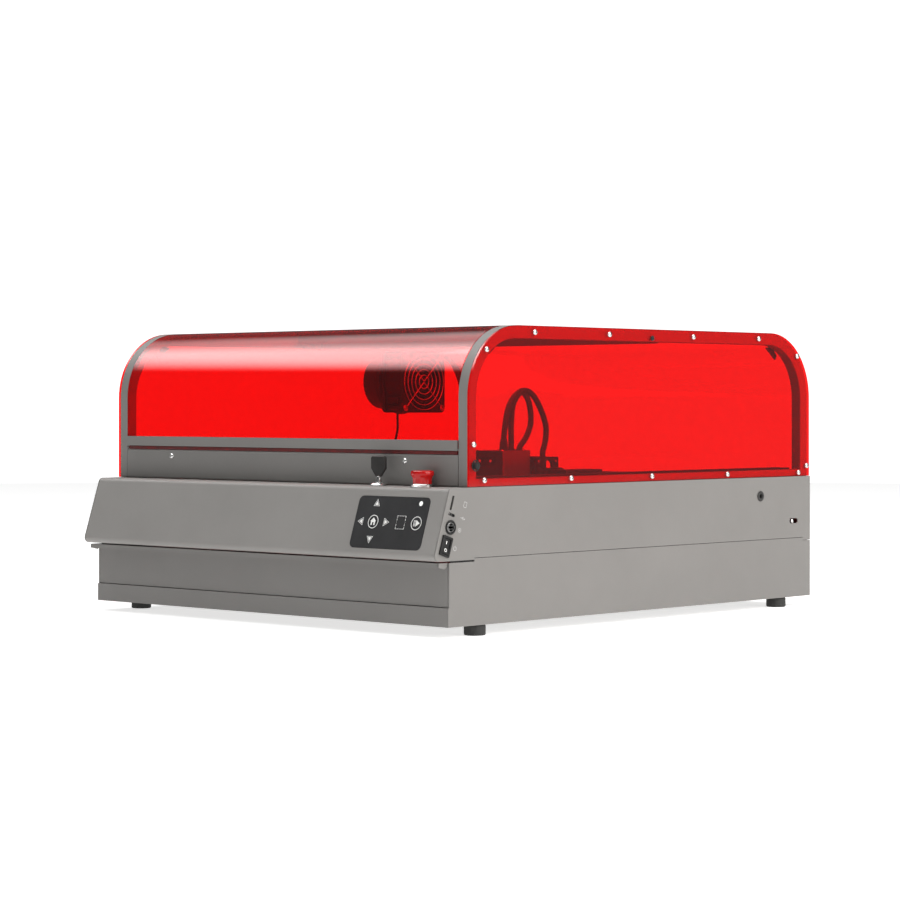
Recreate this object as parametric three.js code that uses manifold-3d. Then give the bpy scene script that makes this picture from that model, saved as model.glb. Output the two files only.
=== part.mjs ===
// Enclosed desktop laser engraver: sheet-metal base with a pull-out bed drawer, a curved
// see-through cover with a hinged front half, and a belt-driven gantry carrying a laser head.
// Units are millimetres, +Z is up and the front of the machine faces -Y.
import * as THREE from 'three';
import { mergeVertices } from 'three/addons/utils/BufferGeometryUtils.js';
import Module from 'manifold-3d';

const wasm = await Module();
wasm.setup();

// ---- Driving dimensions ---------------------------------------------------------------------
const WIDTH = 560;
const DEPTH = 630;
const BASE_TOP = 154;
const FOOT_HEIGHT = 11.5;
const SEAM = 81.5;
const COVER_TOP = 323;
const COVER_FRONT = 30;
const COVER_REAR = 628;
const ARC_RADIUS = 76;
const SHEET = 1.5;
const ACRYLIC = 3;
const GAP = 0.35;
const FRAME_BORDER = 14;
const FRAME_FOOT = 8;
const FRAME_BAND = 12.5;

const SIDE = WIDTH / 2;
const INNER_SIDE = SIDE - SHEET;
const FRAME_OUTER = SIDE - ACRYLIC;
const FRAME_INNER = FRAME_OUTER - FRAME_BAND;
const COVER_HALF = FRAME_INNER - 0.5;

// Slanted control box across the front.
const PANEL_BOTTOM = 79.4;
const PANEL_BEND = 6;
const PANEL_CORNERS = [[COVER_FRONT - GAP, BASE_TOP], [0.9, BASE_TOP], [-23.6, PANEL_BOTTOM], [0.9, PANEL_BOTTOM]];
const SLANT_TOP = new THREE.Vector2(...PANEL_CORNERS[1]);
const SLANT_BOTTOM = new THREE.Vector2(...PANEL_CORNERS[2]);
const SLANT_TILT = Math.atan2(SLANT_TOP.x - SLANT_BOTTOM.x, SLANT_TOP.y - SLANT_BOTTOM.y);

// Ledge controls.
const KEY_X = 164;
const ESTOP_X = 227.5;
const LEDGE_Y = 15;

// Lid hinge axis, along X.
const HINGE_Y = 329.7;
const HINGE_Z = 313;
const HINGE_PIN = 3;

// Gantry and belts.
const RAIL_X = 250;
const RAIL_WIDTH = 20;
const RAIL_TOP = 164;
const BEAM_Y = 238;
const BEAM_TOP = 162;
const BEAM_SIZE = 20;
const BELT_Z = 101.5;
const BELT_X = 228;
const BELT_WIDTH = 6;
const BELT_THICKNESS = 1.4;
const PULLEY_RADIUS = 7;
const DRIVE_Y = 595;
const IDLER_Y = 60;

// Laser head, parked at the right.
const HEAD_LEFT = 150;
const HEAD_RIGHT = 200;
const HEAD_FRONT = 170;
const HEAD_REAR = 216;
const HEAD_TOP = 189;
const BLOCK_TOP = 181.5;
const BLOCK_REAR = 254;

// Exhaust fan on the left wall.
const FAN_Y = 506;
const FAN_Z = 268.5;
const FAN_SIZE = 80;
const FAN_BORE = 37;
const FAN_FACE_X = -240;
const SPIGOT_END_X = -316;
const SPIGOT_RADIUS = 35;

// Drawer.
const FRONT_FLANGE_TOP = 31.3;
const DRAWER_CLEARANCE = 0.7;
const TRAY_HALF = 274;
const TRAY_FLOOR = FRONT_FLANGE_TOP + DRAWER_CLEARANCE;
const TRAY_TOP = 70;
const TRAY_REAR = 575;
const BED_HALF = 215;
const BED_FRONT = 60;
const BED_REAR = 500;
const BED_TOP = 56;
const RIB_WIDTH = 10;
const RIB_FRONT = 4;

const FEET = [[-266.5, 53], [266.5, 53], [-266.5, 580], [266.5, 580]];
const SWITCH_BUTTON = [39.5, 176.3];

// ---- Materials ------------------------------------------------------------------------------
const finish = (color, roughness, metalness, opacity = 1) => new THREE.MeshStandardMaterial({
  color, roughness, metalness, opacity, transparent: opacity < 1,
});
const steelPaint = () => finish(0x8f8b86, 0.55, 0.2);
const redAcrylic = () => finish(0xff1818, 0.1, 0, 0.45);
const blackPlastic = () => finish(0x232323, 0.5, 0);
const aluminium = () => finish(0x9a9a9a, 0.4, 0.9);
const chrome = () => finish(0xd8d8d8, 0.15, 1);
const blackRubber = () => finish(0x1c1c1c, 0.8, 0);

// ---- Geometry helpers -----------------------------------------------------------------------
const machine = new THREE.Group();
machine.name = 'laser_engraver';

function add(name, geometry, material, parent = machine) {
  const mesh = new THREE.Mesh(geometry, material);
  mesh.name = name;
  parent.add(mesh);
  return mesh;
}

function solid(geometry) {
  const plain = geometry.clone();
  plain.deleteAttribute('normal');
  plain.deleteAttribute('uv');
  const merged = mergeVertices(plain, 1e-4);
  return new wasm.Manifold(new wasm.Mesh({
    numProp: 3,
    vertProperties: new Float32Array(merged.attributes.position.array),
    triVerts: new Uint32Array(merged.index.array),
  }));
}

function geometryOf(manifold) {
  const mesh = manifold.simplify(1e-3).getMesh();
  const geometry = new THREE.BufferGeometry();
  geometry.setAttribute('position', new THREE.BufferAttribute(mesh.vertProperties, 3));
  geometry.setIndex(new THREE.BufferAttribute(mesh.triVerts, 1));
  geometry.computeVertexNormals();
  return geometry;
}

const join = (first, ...others) => geometryOf(others.reduce((sum, item) => sum.add(solid(item)), solid(first)));
const cut = (first, ...others) => geometryOf(others.reduce((rest, item) => rest.subtract(solid(item)), solid(first)));

function block(x0, x1, y0, y1, z0, z1) {
  return new THREE.BoxGeometry(x1 - x0, y1 - y0, z1 - z0)
    .translate((x0 + x1) / 2, (y0 + y1) / 2, (z0 + z1) / 2);
}

// Places a shape drawn in (y, z) between two X planes.
function alongX(shape, x0, x1, curveSegments = 2) {
  const geometry = new THREE.ExtrudeGeometry(shape, { depth: x1 - x0, bevelEnabled: false, curveSegments });
  const basis = new THREE.Matrix4().makeBasis(
    new THREE.Vector3(0, 1, 0), new THREE.Vector3(0, 0, 1), new THREE.Vector3(1, 0, 0));
  return geometry.applyMatrix4(basis).translate(x0, 0, 0);
}

function alongZ(shape, z0, z1, curveSegments = 2) {
  return new THREE.ExtrudeGeometry(shape, { depth: z1 - z0, bevelEnabled: false, curveSegments }).translate(0, 0, z0);
}

function polygon(points) {
  return new THREE.Shape(points.map(([u, v]) => new THREE.Vector2(u, v)));
}

function roundedRectangle(u0, u1, v0, v1, radius, offset = 0) {
  const [a, b, c, d, r] = [u0 + offset, u1 - offset, v0 + offset, v1 - offset, radius - offset];
  const shape = new THREE.Shape();
  shape.moveTo(a + r, c);
  shape.lineTo(b - r, c);
  shape.absarc(b - r, c + r, r, -Math.PI / 2, 0);
  shape.lineTo(b, d - r);
  shape.absarc(b - r, d - r, r, 0, Math.PI / 2);
  shape.lineTo(a + r, d);
  shape.absarc(a + r, d - r, r, Math.PI / 2, Math.PI);
  shape.lineTo(a, c + r);
  shape.absarc(a + r, c + r, r, Math.PI, 1.5 * Math.PI);
  return shape;
}

function circle(u, v, radius, sides = 20) {
  const points = Array.from({ length: sides }, (_, index) => {
    const angle = (2 * Math.PI * index) / sides;
    return new THREE.Vector2(u + radius * Math.cos(angle), v + radius * Math.sin(angle));
  });
  return new THREE.Shape(points);
}

function discX(y, z, radius, x0, x1, sides = 20) {
  return new THREE.CylinderGeometry(radius, radius, x1 - x0, sides)
    .rotateZ(Math.PI / 2).translate((x0 + x1) / 2, y, z);
}

function discZ(x, y, radius, z0, z1, sides = 20) {
  return new THREE.CylinderGeometry(radius, radius, z1 - z0, sides)
    .rotateX(Math.PI / 2).translate(x, y, (z0 + z1) / 2);
}

// Turned shape around a vertical axis; the profile is a list of [radius, height].
function turnedZ(x, y, profile, sides = 24) {
  const points = profile.map(([radius, height]) => new THREE.Vector2(radius, height));
  return new THREE.LatheGeometry(points, sides).rotateX(Math.PI / 2).translate(x, y, 0);
}

// Turned shape around an axis along X; heights run along +X.
function turnedX(y, z, profile, sides = 24) {
  const points = profile.map(([radius, height]) => new THREE.Vector2(radius, height));
  return new THREE.LatheGeometry(points, sides).rotateZ(-Math.PI / 2).translate(0, y, z);
}

// Cross-section of a sheet folded along a line of corners. The corners follow one face, and the
// sheet's thickness lies on the left of the direction of travel.
function foldedSheet(corners, thickness, radius, steps = 8) {
  const points = corners.map(([u, v]) => new THREE.Vector2(u, v));
  const face = [];
  const push = (at, direction) => face.push([at, new THREE.Vector2(-direction.y, direction.x)]);
  points.forEach((corner, index) => {
    const before = index > 0 ? corner.clone().sub(points[index - 1]).normalize() : null;
    const after = index < points.length - 1 ? points[index + 1].clone().sub(corner).normalize() : null;
    if (!before || !after) {
      push(corner, before ?? after);
      return;
    }
    const turn = Math.atan2(before.cross(after), before.dot(after));
    const start = corner.clone().addScaledVector(before, -radius * Math.tan(Math.abs(turn) / 2));
    const toCentre = new THREE.Vector2(-before.y, before.x).multiplyScalar(Math.sign(turn) * radius);
    const centre = start.clone().add(toCentre);
    for (let step = 0; step <= steps; step += 1) {
      const angle = (turn * step) / steps;
      const at = start.clone().rotateAround(centre, angle);
      push(at, before.clone().rotateAround(new THREE.Vector2(), angle));
    }
  });
  const outer = face.map(([at]) => at);
  const inner = face.map(([at, normal]) => at.clone().addScaledVector(normal, thickness)).reverse();
  return new THREE.Shape([...outer, ...inner]);
}

// Outline of the cover seen from the side, moved inwards by an offset.
function archOutline(offset, bottom = BASE_TOP + GAP) {
  const [front, rear, top] = [COVER_FRONT + offset, COVER_REAR - offset, COVER_TOP - offset];
  const radius = ARC_RADIUS - offset;
  const shape = new THREE.Shape();
  shape.moveTo(front, bottom + offset);
  shape.lineTo(rear, bottom + offset);
  shape.lineTo(rear, top - radius);
  shape.absarc(rear - radius, top - radius, radius, 0, Math.PI / 2);
  shape.lineTo(front + radius, top);
  shape.absarc(front + radius, top - radius, radius, Math.PI / 2, Math.PI);
  return shape;
}

function tube(points, radius, sides, steps) {
  const curve = new THREE.CatmullRomCurve3(points.map((point) => new THREE.Vector3(...point)), false, 'centripetal');
  const section = new THREE.Shape();
  for (let side = 0; side < sides; side += 1) {
    const angle = (2 * Math.PI * side) / sides;
    const [u, v] = [radius * Math.cos(angle), radius * Math.sin(angle)];
    if (side === 0) section.moveTo(u, v);
    else section.lineTo(u, v);
  }
  return new THREE.ExtrudeGeometry(section, { steps, extrudePath: curve, bevelEnabled: false });
}

const mirrored = (sign, near, far) => (sign > 0 ? [near, far] : [-far, -near]);
const SIDES = [['left', -1], ['right', 1]];

// ---- Base -----------------------------------------------------------------------------------
const SEAM_FRONT_STEP = 38;
const SEAM_REAR_STEP = 615;
const SEAM_DROP = 3.4;
const SEAM_GAP = 0.6;
const PORTS_X = [SIDE - SHEET - 1, SIDE + 1];

function lowerShell() {
  const wallTop = polygon([
    [0, FOOT_HEIGHT], [DEPTH, FOOT_HEIGHT], [DEPTH, SEAM - SEAM_DROP - SEAM_GAP],
    [SEAM_REAR_STEP, SEAM - SEAM_DROP - SEAM_GAP], [SEAM_REAR_STEP, SEAM - SEAM_GAP],
    [SEAM_FRONT_STEP, SEAM - SEAM_GAP], [SEAM_FRONT_STEP, SEAM - SEAM_DROP - SEAM_GAP],
    [0, SEAM - SEAM_DROP - SEAM_GAP],
  ]);
  const floor = block(-SIDE, SIDE, -SHEET, DEPTH, FOOT_HEIGHT, FOOT_HEIGHT + SHEET);
  const rear = block(-SIDE, SIDE, DEPTH - SHEET, DEPTH, FOOT_HEIGHT, SEAM - SEAM_DROP - SEAM_GAP);
  const flange = block(-SIDE, SIDE, -SHEET, 0.2, FOOT_HEIGHT, FRONT_FLANGE_TOP);
  const walls = SIDES.map(([, sign]) => alongX(wallTop, ...mirrored(sign, INNER_SIDE, SIDE)));
  // The tray slides on two ribs that stand on the floor.
  const ribs = SIDES.map(([, sign]) => block(
    ...mirrored(sign, TRAY_HALF - RIB_WIDTH, TRAY_HALF), RIB_FRONT, TRAY_REAR, FOOT_HEIGHT, TRAY_FLOOR - GAP));
  return join(floor, rear, flange, ...walls, ...ribs);
}

// Rocker switch, power socket and data slots on the right cheek follow the slanted face.
const ROCKER_CENTRE = [-6, 95];
const ROCKER_SIZE = [14.5, 21];
const JACK_CENTRE = [1.5, 114];
const JACK_RADIUS = 7.5;
const CARD_SLOT = { centre: [4.2, 139], length: 15.5, width: 3 };
const DATA_SLOT = { centre: [3.5, 126.8], length: 9.6, width: 3.6 };
const GROMMET_CENTRE = [531, 132.2];
const TENSION_SLOT = { centre: [597, BELT_Z], length: 16.4, width: 6 };

// The rocker rests tipped to its "off" side by this angle, and tips as far the other way.
const ROCKER_REST = THREE.MathUtils.degToRad(6);

// A shape centred on (y, z), leaning back with the slanted face.
function leaning(shape, [y, z], x0, x1) {
  const turned = alongX(shape, x0, x1);
  return turned.rotateX(-SLANT_TILT).translate(0, y, z);
}

function slot(width, length) {
  const endRadius = Math.min(width, length) / 2 - 0.3;
  return roundedRectangle(-width / 2, width / 2, -length / 2, length / 2, endRadius);
}

function upperShell() {
  const cheek = foldedCheekOutline();
  const walls = SIDES.map(([, sign]) => alongX(cheek, ...mirrored(sign, INNER_SIDE, SIDE)));
  const rear = block(-SIDE, SIDE, DEPTH - SHEET, DEPTH, SEAM - SEAM_DROP, BASE_TOP);
  const rearFlange = block(-SIDE, SIDE, DEPTH - FRAME_BORDER, DEPTH, BASE_TOP - SHEET, BASE_TOP);
  const sideFlanges = SIDES.map(([, sign]) => block(
    ...mirrored(sign, INNER_SIDE - FRAME_BAND, SIDE), COVER_FRONT + 2, DEPTH, BASE_TOP - SHEET, BASE_TOP));
  const body = join(walls[0], walls[1], rear, rearFlange, ...sideFlanges);
  const rectangle = ([width, height]) => roundedRectangle(-width / 2, width / 2, -height / 2, height / 2, 1);
  const openings = [
    leaning(rectangle([ROCKER_SIZE[0] - 2, ROCKER_SIZE[1] - 2]), ROCKER_CENTRE, ...PORTS_X),
    leaning(slot(CARD_SLOT.width, CARD_SLOT.length), CARD_SLOT.centre, ...PORTS_X),
    leaning(slot(DATA_SLOT.length, DATA_SLOT.width - 0.4), DATA_SLOT.centre, ...PORTS_X),
    discX(...JACK_CENTRE, JACK_RADIUS - 1, ...PORTS_X),
    discX(...GROMMET_CENTRE, 4.7, ...PORTS_X, 16),
    alongX(slot(TENSION_SLOT.length, TENSION_SLOT.width), ...PORTS_X).translate(0, ...TENSION_SLOT.centre),
  ];
  return cut(body, ...openings);
}

// Side wall outline of the upper shell, with the control box's slanted nose at the front.
function foldedCheekOutline() {
  const nose = foldedSheet(PANEL_CORNERS, SHEET, PANEL_BEND).getPoints();
  const outerFace = nose.slice(0, nose.length / 2);
  return new THREE.Shape([
    new THREE.Vector2(DEPTH, BASE_TOP), ...outerFace,
    new THREE.Vector2(SEAM_FRONT_STEP, PANEL_BOTTOM), new THREE.Vector2(SEAM_FRONT_STEP, SEAM),
    new THREE.Vector2(SEAM_REAR_STEP, SEAM), new THREE.Vector2(SEAM_REAR_STEP, SEAM - SEAM_DROP),
    new THREE.Vector2(DEPTH, SEAM - SEAM_DROP),
  ]);
}

// Keypad on the slanted face, in its own flat frame: X across, Y up the slope, Z outwards.
const KEYPAD_CENTRE_X = 205.9;
const KEYPAD_SIZE = [102.8, 56];
const KEYPAD_Z = 117;
const KEY_TRAVEL = 0.5;
const KEYS = [
  { name: 'key_up', at: [-23.9, 19.8], size: 4.9, sides: 12 },
  { name: 'key_left', at: [-41.4, 0.3], size: 4.9, sides: 12 },
  { name: 'key_home', at: [-24, 0.3], size: 6.2, sides: 20 },
  { name: 'key_right', at: [-6, 0.3], size: 4.9, sides: 12 },
  { name: 'key_down', at: [-23.7, -18.1], size: 4.9, sides: 12 },
  { name: 'key_frame', at: [15.9, 0.6], size: 6.6, sides: 20 },
  { name: 'key_start', at: [38.3, 0.4], size: 6.2, sides: 20 },
];

function keypadFrame() {
  const frame = new THREE.Group();
  const along = (KEYPAD_Z - SLANT_BOTTOM.y) / (SLANT_TOP.y - SLANT_BOTTOM.y);
  const y = THREE.MathUtils.lerp(SLANT_BOTTOM.x, SLANT_TOP.x, along);
  frame.position.set(KEYPAD_CENTRE_X, y, KEYPAD_Z);
  frame.rotation.x = Math.PI / 2 - SLANT_TILT;
  machine.add(frame);
  return frame;
}

function controlPanel(keypad) {
  const sheet = alongX(foldedSheet(PANEL_CORNERS, SHEET, PANEL_BEND), -INNER_SIDE + GAP, INNER_SIDE - GAP);
  const [w, h] = [KEYPAD_SIZE[0] / 2 + GAP, KEYPAD_SIZE[1] / 2 + GAP];
  const window = alongZ(roundedRectangle(-w, w, -h, h, 6), -6, 4);
  keypad.updateMatrixWorld(true);
  window.applyMatrix4(keypad.matrixWorld);
  const keyHole = discZ(KEY_X, LEDGE_Y, 8.4, BASE_TOP - 4, BASE_TOP + 2);
  const stopHole = discZ(ESTOP_X, LEDGE_Y, 12.2, BASE_TOP - 4, BASE_TOP + 2);
  return cut(sheet, window, keyHole, stopHole);
}

function buildKeypad(keypad) {
  const [w, h] = [KEYPAD_SIZE[0] / 2, KEYPAD_SIZE[1] / 2];
  const plate = roundedRectangle(-w, w, -h, h, 5.5);
  KEYS.forEach(({ at, size }) => plate.holes.push(circle(...at, size + GAP)));
  add('keypad_overlay', alongZ(plate, -1.4, 0.4), blackPlastic(), keypad);
  KEYS.forEach(({ name, at, size, sides }) => {
    add(name, discZ(...at, size, -0.9, KEY_TRAVEL, sides), blackPlastic(), keypad);
  });
}

// Key switch with its key, and the emergency stop, on the ledge.
function buildLedgeControls() {
  add('key_switch_barrel', turnedZ(KEY_X, LEDGE_Y, [
    [0, 122], [8, 122], [8, BASE_TOP + GAP], [9.5, BASE_TOP + GAP], [9.5, 155.6], [7.5, 157],
    [3.6, 157], [3.6, 146], [0, 146],
  ]), chrome());
  const blade = block(-3, 3, -1, 1, 147, 165);
  const bow = polygon([[-3, 163], [3, 163], [10.3, 172], [10.3, 183], [8.6, 185], [-8.6, 185], [-10.3, 183], [-10.3, 172]]);
  const head = new THREE.ExtrudeGeometry(bow, { depth: 3.6, bevelEnabled: false })
    .rotateX(Math.PI / 2).translate(0, 1.8, 0);
  add('switch_key', join(blade, head).translate(KEY_X, LEDGE_Y, 0), blackPlastic());

  add('estop_collar', turnedZ(ESTOP_X, LEDGE_Y, [
    [0, 118], [11.8, 118], [11.8, BASE_TOP + GAP], [12.6, BASE_TOP + GAP], [12.6, 157],
    [10.5, 157], [10.5, 145], [0, 145],
  ], 28), chrome());
  add('estop_button', turnedZ(ESTOP_X, LEDGE_Y, [
    [0, 150], [10.1, 150], [10.1, 163.5], [12.5, 166.5], [12.5, 169.5], [11, 171.3], [0, 171.6],
  ], 28), finish(0xc01010, 0.35, 0));
}

// Rocker power switch, DIN power socket and card reader on the right cheek.
function buildPorts() {
  const [w, h] = ROCKER_SIZE.map((size) => size / 2);
  const flange = roundedRectangle(-w, w, -h, h, 1);
  const mouth = roundedRectangle(-w, w, -h, h, 2.2, 2);
  flange.holes.push(mouth);
  const wall = roundedRectangle(-w, w, -h, h, 2, 1.2);
  wall.holes.push(mouth);
  const bezel = join(
    leaning(flange, ROCKER_CENTRE, SIDE + GAP, SIDE + 2),
    leaning(wall, ROCKER_CENTRE, SIDE - 14, SIDE + 1),
    leaning(roundedRectangle(-w, w, -h, h, 2, 1.2), ROCKER_CENTRE, SIDE - 16, SIDE - 13.5),
  );
  add('rocker_bezel', bezel, blackPlastic());

  const wings = polygon([[-8.1, 0], [0, -0.9], [8.1, 0], [5.2, -8], [-5.2, -8]]);
  const rocker = new THREE.ExtrudeGeometry(wings, { depth: 2 * w - 4.8, bevelEnabled: false })
    .translate(0, 0, -(w - 2.4));
  rocker.applyMatrix4(new THREE.Matrix4().makeBasis(
    new THREE.Vector3(0, 0, 1), new THREE.Vector3(1, 0, 0), new THREE.Vector3(0, 1, 0)));
  rocker.rotateY(-ROCKER_REST);
  rocker.rotateX(-SLANT_TILT).translate(SIDE + 1.6, ...ROCKER_CENTRE);
  add('power_rocker', rocker, blackPlastic());

  add('power_jack', turnedX(...JACK_CENTRE, [
    [0, SIDE - 16], [6.1, SIDE - 16], [6.1, SIDE + GAP], [JACK_RADIUS, SIDE + GAP], [JACK_RADIUS, SIDE + 1.6],
    [5.6, SIDE + 1.6], [5.6, SIDE - 1.6], [0, SIDE - 1.6],
  ]), blackPlastic());

  add('card_reader', leaning(roundedRectangle(-5.5, 5.5, -14, 14, 1), [7.4, 134],
    INNER_SIDE - 16, INNER_SIDE - GAP), blackPlastic());
  add('hose_grommet', turnedX(...GROMMET_CENTRE, [
    [0, SIDE - 5], [4.3, SIDE - 5], [4.3, SIDE + GAP], [6, SIDE + GAP], [5.2, SIDE + 1.3], [0, SIDE + 1.3],
  ], 20), blackRubber());
}

function buildBase() {
  add('lower_shell', lowerShell(), steelPaint());
  add('upper_shell', upperShell(), steelPaint());
  const keypad = keypadFrame();
  add('control_panel', controlPanel(keypad), steelPaint());
  buildKeypad(keypad);
  buildLedgeControls();
  buildPorts();
  FEET.forEach(([x, y], index) => {
    add(`foot_${index + 1}`, turnedZ(x, y, [
      [0, 0], [10.5, 0], [11.5, 1], [11.5, FOOT_HEIGHT - GAP], [0, FOOT_HEIGHT - GAP],
    ], 20), blackRubber());
  });
  add('control_board', block(-150, 120, 6, 26, 92, 146), finish(0x1f5a34, 0.6, 0.1));
}

// ---- Cover ----------------------------------------------------------------------------------
const SILL_TOP = 187.5;
const BAR_BOTTOM = 191.6;
const BAR_TOP = 202.5;
const LID_REAR = HINGE_Y;
const REAR_PANE_FRONT = HINGE_Y + 8.5;
const DUCT_HOLE = SPIGOT_RADIUS + 1;
const ARC_STEPS = 5;

function sideFrame(sign) {
  const ring = archOutline(0);
  ring.holes.push(archOutline(FRAME_BORDER, BASE_TOP + GAP + FRAME_FOOT - FRAME_BORDER));
  const body = alongX(ring, ...mirrored(sign, FRAME_INNER, FRAME_OUTER), ARC_STEPS);
  const groove = alongX(archOutline(SHEET), ...mirrored(sign, FRAME_INNER + SHEET, FRAME_OUTER - SHEET), ARC_STEPS);
  return cut(body, groove);
}

function sideWindow(sign) {
  const pane = archOutline(0);
  if (sign < 0) pane.holes.push(circle(FAN_Y, FAN_Z, DUCT_HOLE, 24));
  else pane.holes.push(circle(...SWITCH_BUTTON, 4.6));
  return alongX(pane, ...mirrored(sign, FRAME_OUTER + GAP, SIDE), ARC_STEPS);
}

function topCrossbar() {
  const bar = block(-COVER_HALF, COVER_HALF, HINGE_Y + 12.5, HINGE_Y + 31, 308, COVER_TOP - ACRYLIC - GAP);
  const trough = block(-COVER_HALF - 1, COVER_HALF + 1, HINGE_Y + 14.5, HINGE_Y + 29, 306, COVER_TOP - ACRYLIC - 2);
  const lug = polygon([[-18, -5], [14, -5], [14, 0.5], [4.5, 0.5], [4.5, 4.4], [-18, 4.4]]);
  const ends = SIDES.flatMap(([, sign]) => [
    alongX(lug, ...mirrored(sign, 261, COVER_HALF)).translate(0, HINGE_Y, HINGE_Z),
    discX(HINGE_Y, HINGE_Z, HINGE_PIN, ...mirrored(sign, 251, 262), 16),
  ]);
  const hollow = cut(bar, trough);
  return join(hollow, ...ends);
}

function lidHingeBar() {
  const bar = block(-250, 250, HINGE_Y - 30, HINGE_Y - 8, 315, COVER_TOP - ACRYLIC - GAP);
  const arm = polygon([[-30, 2], [-30, 6.6], [-2, 6.2], [4, 4.5], [6, 0], [4, -4.5], [0, -6], [-4, -4.5]]);
  const arms = SIDES.map(([, sign]) => alongX(arm, ...mirrored(sign, 248, 259)).translate(0, HINGE_Y, HINGE_Z));
  const holes = SIDES.map(([, sign]) => discX(HINGE_Y, HINGE_Z, HINGE_PIN + 0.1, ...mirrored(sign, 240, 262), 16));
  return cut(join(bar, ...arms), ...holes);
}

function buildCover() {
  const sill = foldedSheet([
    [COVER_FRONT + 12, BASE_TOP + GAP], [COVER_FRONT, BASE_TOP + GAP],
    [COVER_FRONT, SILL_TOP], [COVER_FRONT + 12, SILL_TOP],
  ], -SHEET, 1.6, 2);
  add('front_sill', alongX(sill, -COVER_HALF, COVER_HALF), steelPaint());

  SIDES.forEach(([side, sign]) => {
    add(`side_frame_${side}`, sideFrame(sign), steelPaint());
    add(`side_window_${side}`, sideWindow(sign), redAcrylic());
  });
  add('light_switch', discX(...SWITCH_BUTTON, 4, FRAME_OUTER + 1.8, SIDE + 4, 20), blackPlastic());

  const rearPane = foldedSheet(
    [[REAR_PANE_FRONT, COVER_TOP], [COVER_REAR, COVER_TOP], [COVER_REAR, BASE_TOP + GAP]], -ACRYLIC, ARC_RADIUS, 12);
  add('rear_window', alongX(rearPane, -COVER_HALF, COVER_HALF), redAcrylic());
  add('top_crossbar', topCrossbar(), steelPaint());

  const lidPane = foldedSheet(
    [[COVER_FRONT, BAR_BOTTOM + 2], [COVER_FRONT, COVER_TOP], [LID_REAR, COVER_TOP]], -ACRYLIC, ARC_RADIUS, 12);
  add('lid_window', alongX(lidPane, -COVER_HALF, COVER_HALF), redAcrylic());
  const bar = block(-COVER_HALF, COVER_HALF, COVER_FRONT - 1.9, COVER_FRONT + 5, BAR_BOTTOM, BAR_TOP);
  const groove = block(-SIDE, SIDE, COVER_FRONT - GAP, COVER_FRONT + ACRYLIC + GAP, BAR_BOTTOM + 1.6, BAR_TOP + 1);
  add('lid_handle_bar', cut(bar, groove), steelPaint());
  add('lid_hinge_bar', lidHingeBar(), steelPaint());
}

// ---- Drawer ---------------------------------------------------------------------------------
const DRAWER_FRONT_HALF = INNER_SIDE - DRAWER_CLEARANCE;
const LIP_REACH = 13.8;
const LIP_TOP = 77.7;
const LIP_BOTTOM = 73;

function buildDrawer() {
  add('drawer_front', join(
    block(-DRAWER_FRONT_HALF, DRAWER_FRONT_HALF, 0, SHEET, TRAY_FLOOR, LIP_TOP),
    block(-DRAWER_FRONT_HALF, DRAWER_FRONT_HALF, -LIP_REACH, SHEET, LIP_TOP - SHEET, LIP_TOP),
    block(-DRAWER_FRONT_HALF, DRAWER_FRONT_HALF, -LIP_REACH, SHEET - LIP_REACH, LIP_BOTTOM, LIP_TOP),
  ), steelPaint());
  const tray = block(-TRAY_HALF, TRAY_HALF, SHEET + GAP, TRAY_REAR, TRAY_FLOOR, TRAY_TOP);
  const inside = block(-TRAY_HALF + SHEET, TRAY_HALF - SHEET, 2 * SHEET + GAP, TRAY_REAR - SHEET,
    TRAY_FLOOR + SHEET, TRAY_TOP + 1);
  add('drawer_tray', cut(tray, inside), steelPaint());
  add('honeycomb_bed', block(-BED_HALF, BED_HALF, BED_FRONT, BED_REAR, TRAY_FLOOR + SHEET + GAP, BED_TOP),
    aluminium());
}

// ---- Motion system --------------------------------------------------------------------------
const RAIL_FRONT = 43;
const RAIL_REAR = DEPTH - FRAME_BORDER - GAP;
const RAIL_BOTTOM = 130;
const CARRIAGE_HALF = 30;
const MOTOR_SIZE = 41;
const SHAFT_RADIUS = 2.5;
const X_MOTOR_X = -200;
const X_IDLER_X = 218;
const BELT_GAP = 0.3;

// A flat toothed belt's loop around two pulleys of equal radius, as a ring-shaped outline.
function beltLoop(u0, u1, v) {
  const inner = PULLEY_RADIUS + BELT_GAP;
  const outline = (radius) => {
    const shape = new THREE.Shape();
    shape.absarc(u0, v, radius, Math.PI / 2, 1.5 * Math.PI);
    shape.absarc(u1, v, radius, -Math.PI / 2, Math.PI / 2);
    return shape;
  };
  const loop = outline(inner + BELT_THICKNESS);
  loop.holes.push(outline(inner));
  return loop;
}

function yRail(sign) {
  const rail = block(...mirrored(sign, RAIL_X - RAIL_WIDTH / 2, RAIL_X + RAIL_WIDTH / 2),
    RAIL_FRONT, RAIL_REAR, RAIL_BOTTOM, RAIL_TOP);
  const groove = block(...mirrored(sign, RAIL_X - 3, RAIL_X + 3), RAIL_FRONT - 1, RAIL_REAR + 1,
    RAIL_TOP - 6, RAIL_TOP + 1);
  const bracket = block(...mirrored(sign, BELT_X + 5, RAIL_X - 6), IDLER_Y - 12, IDLER_Y + 12, 90, RAIL_BOTTOM + 6);
  const idler = discX(IDLER_Y, BELT_Z, PULLEY_RADIUS, ...mirrored(sign, BELT_X - 4, BELT_X + 6));
  return join(cut(rail, groove), bracket, idler);
}

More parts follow.
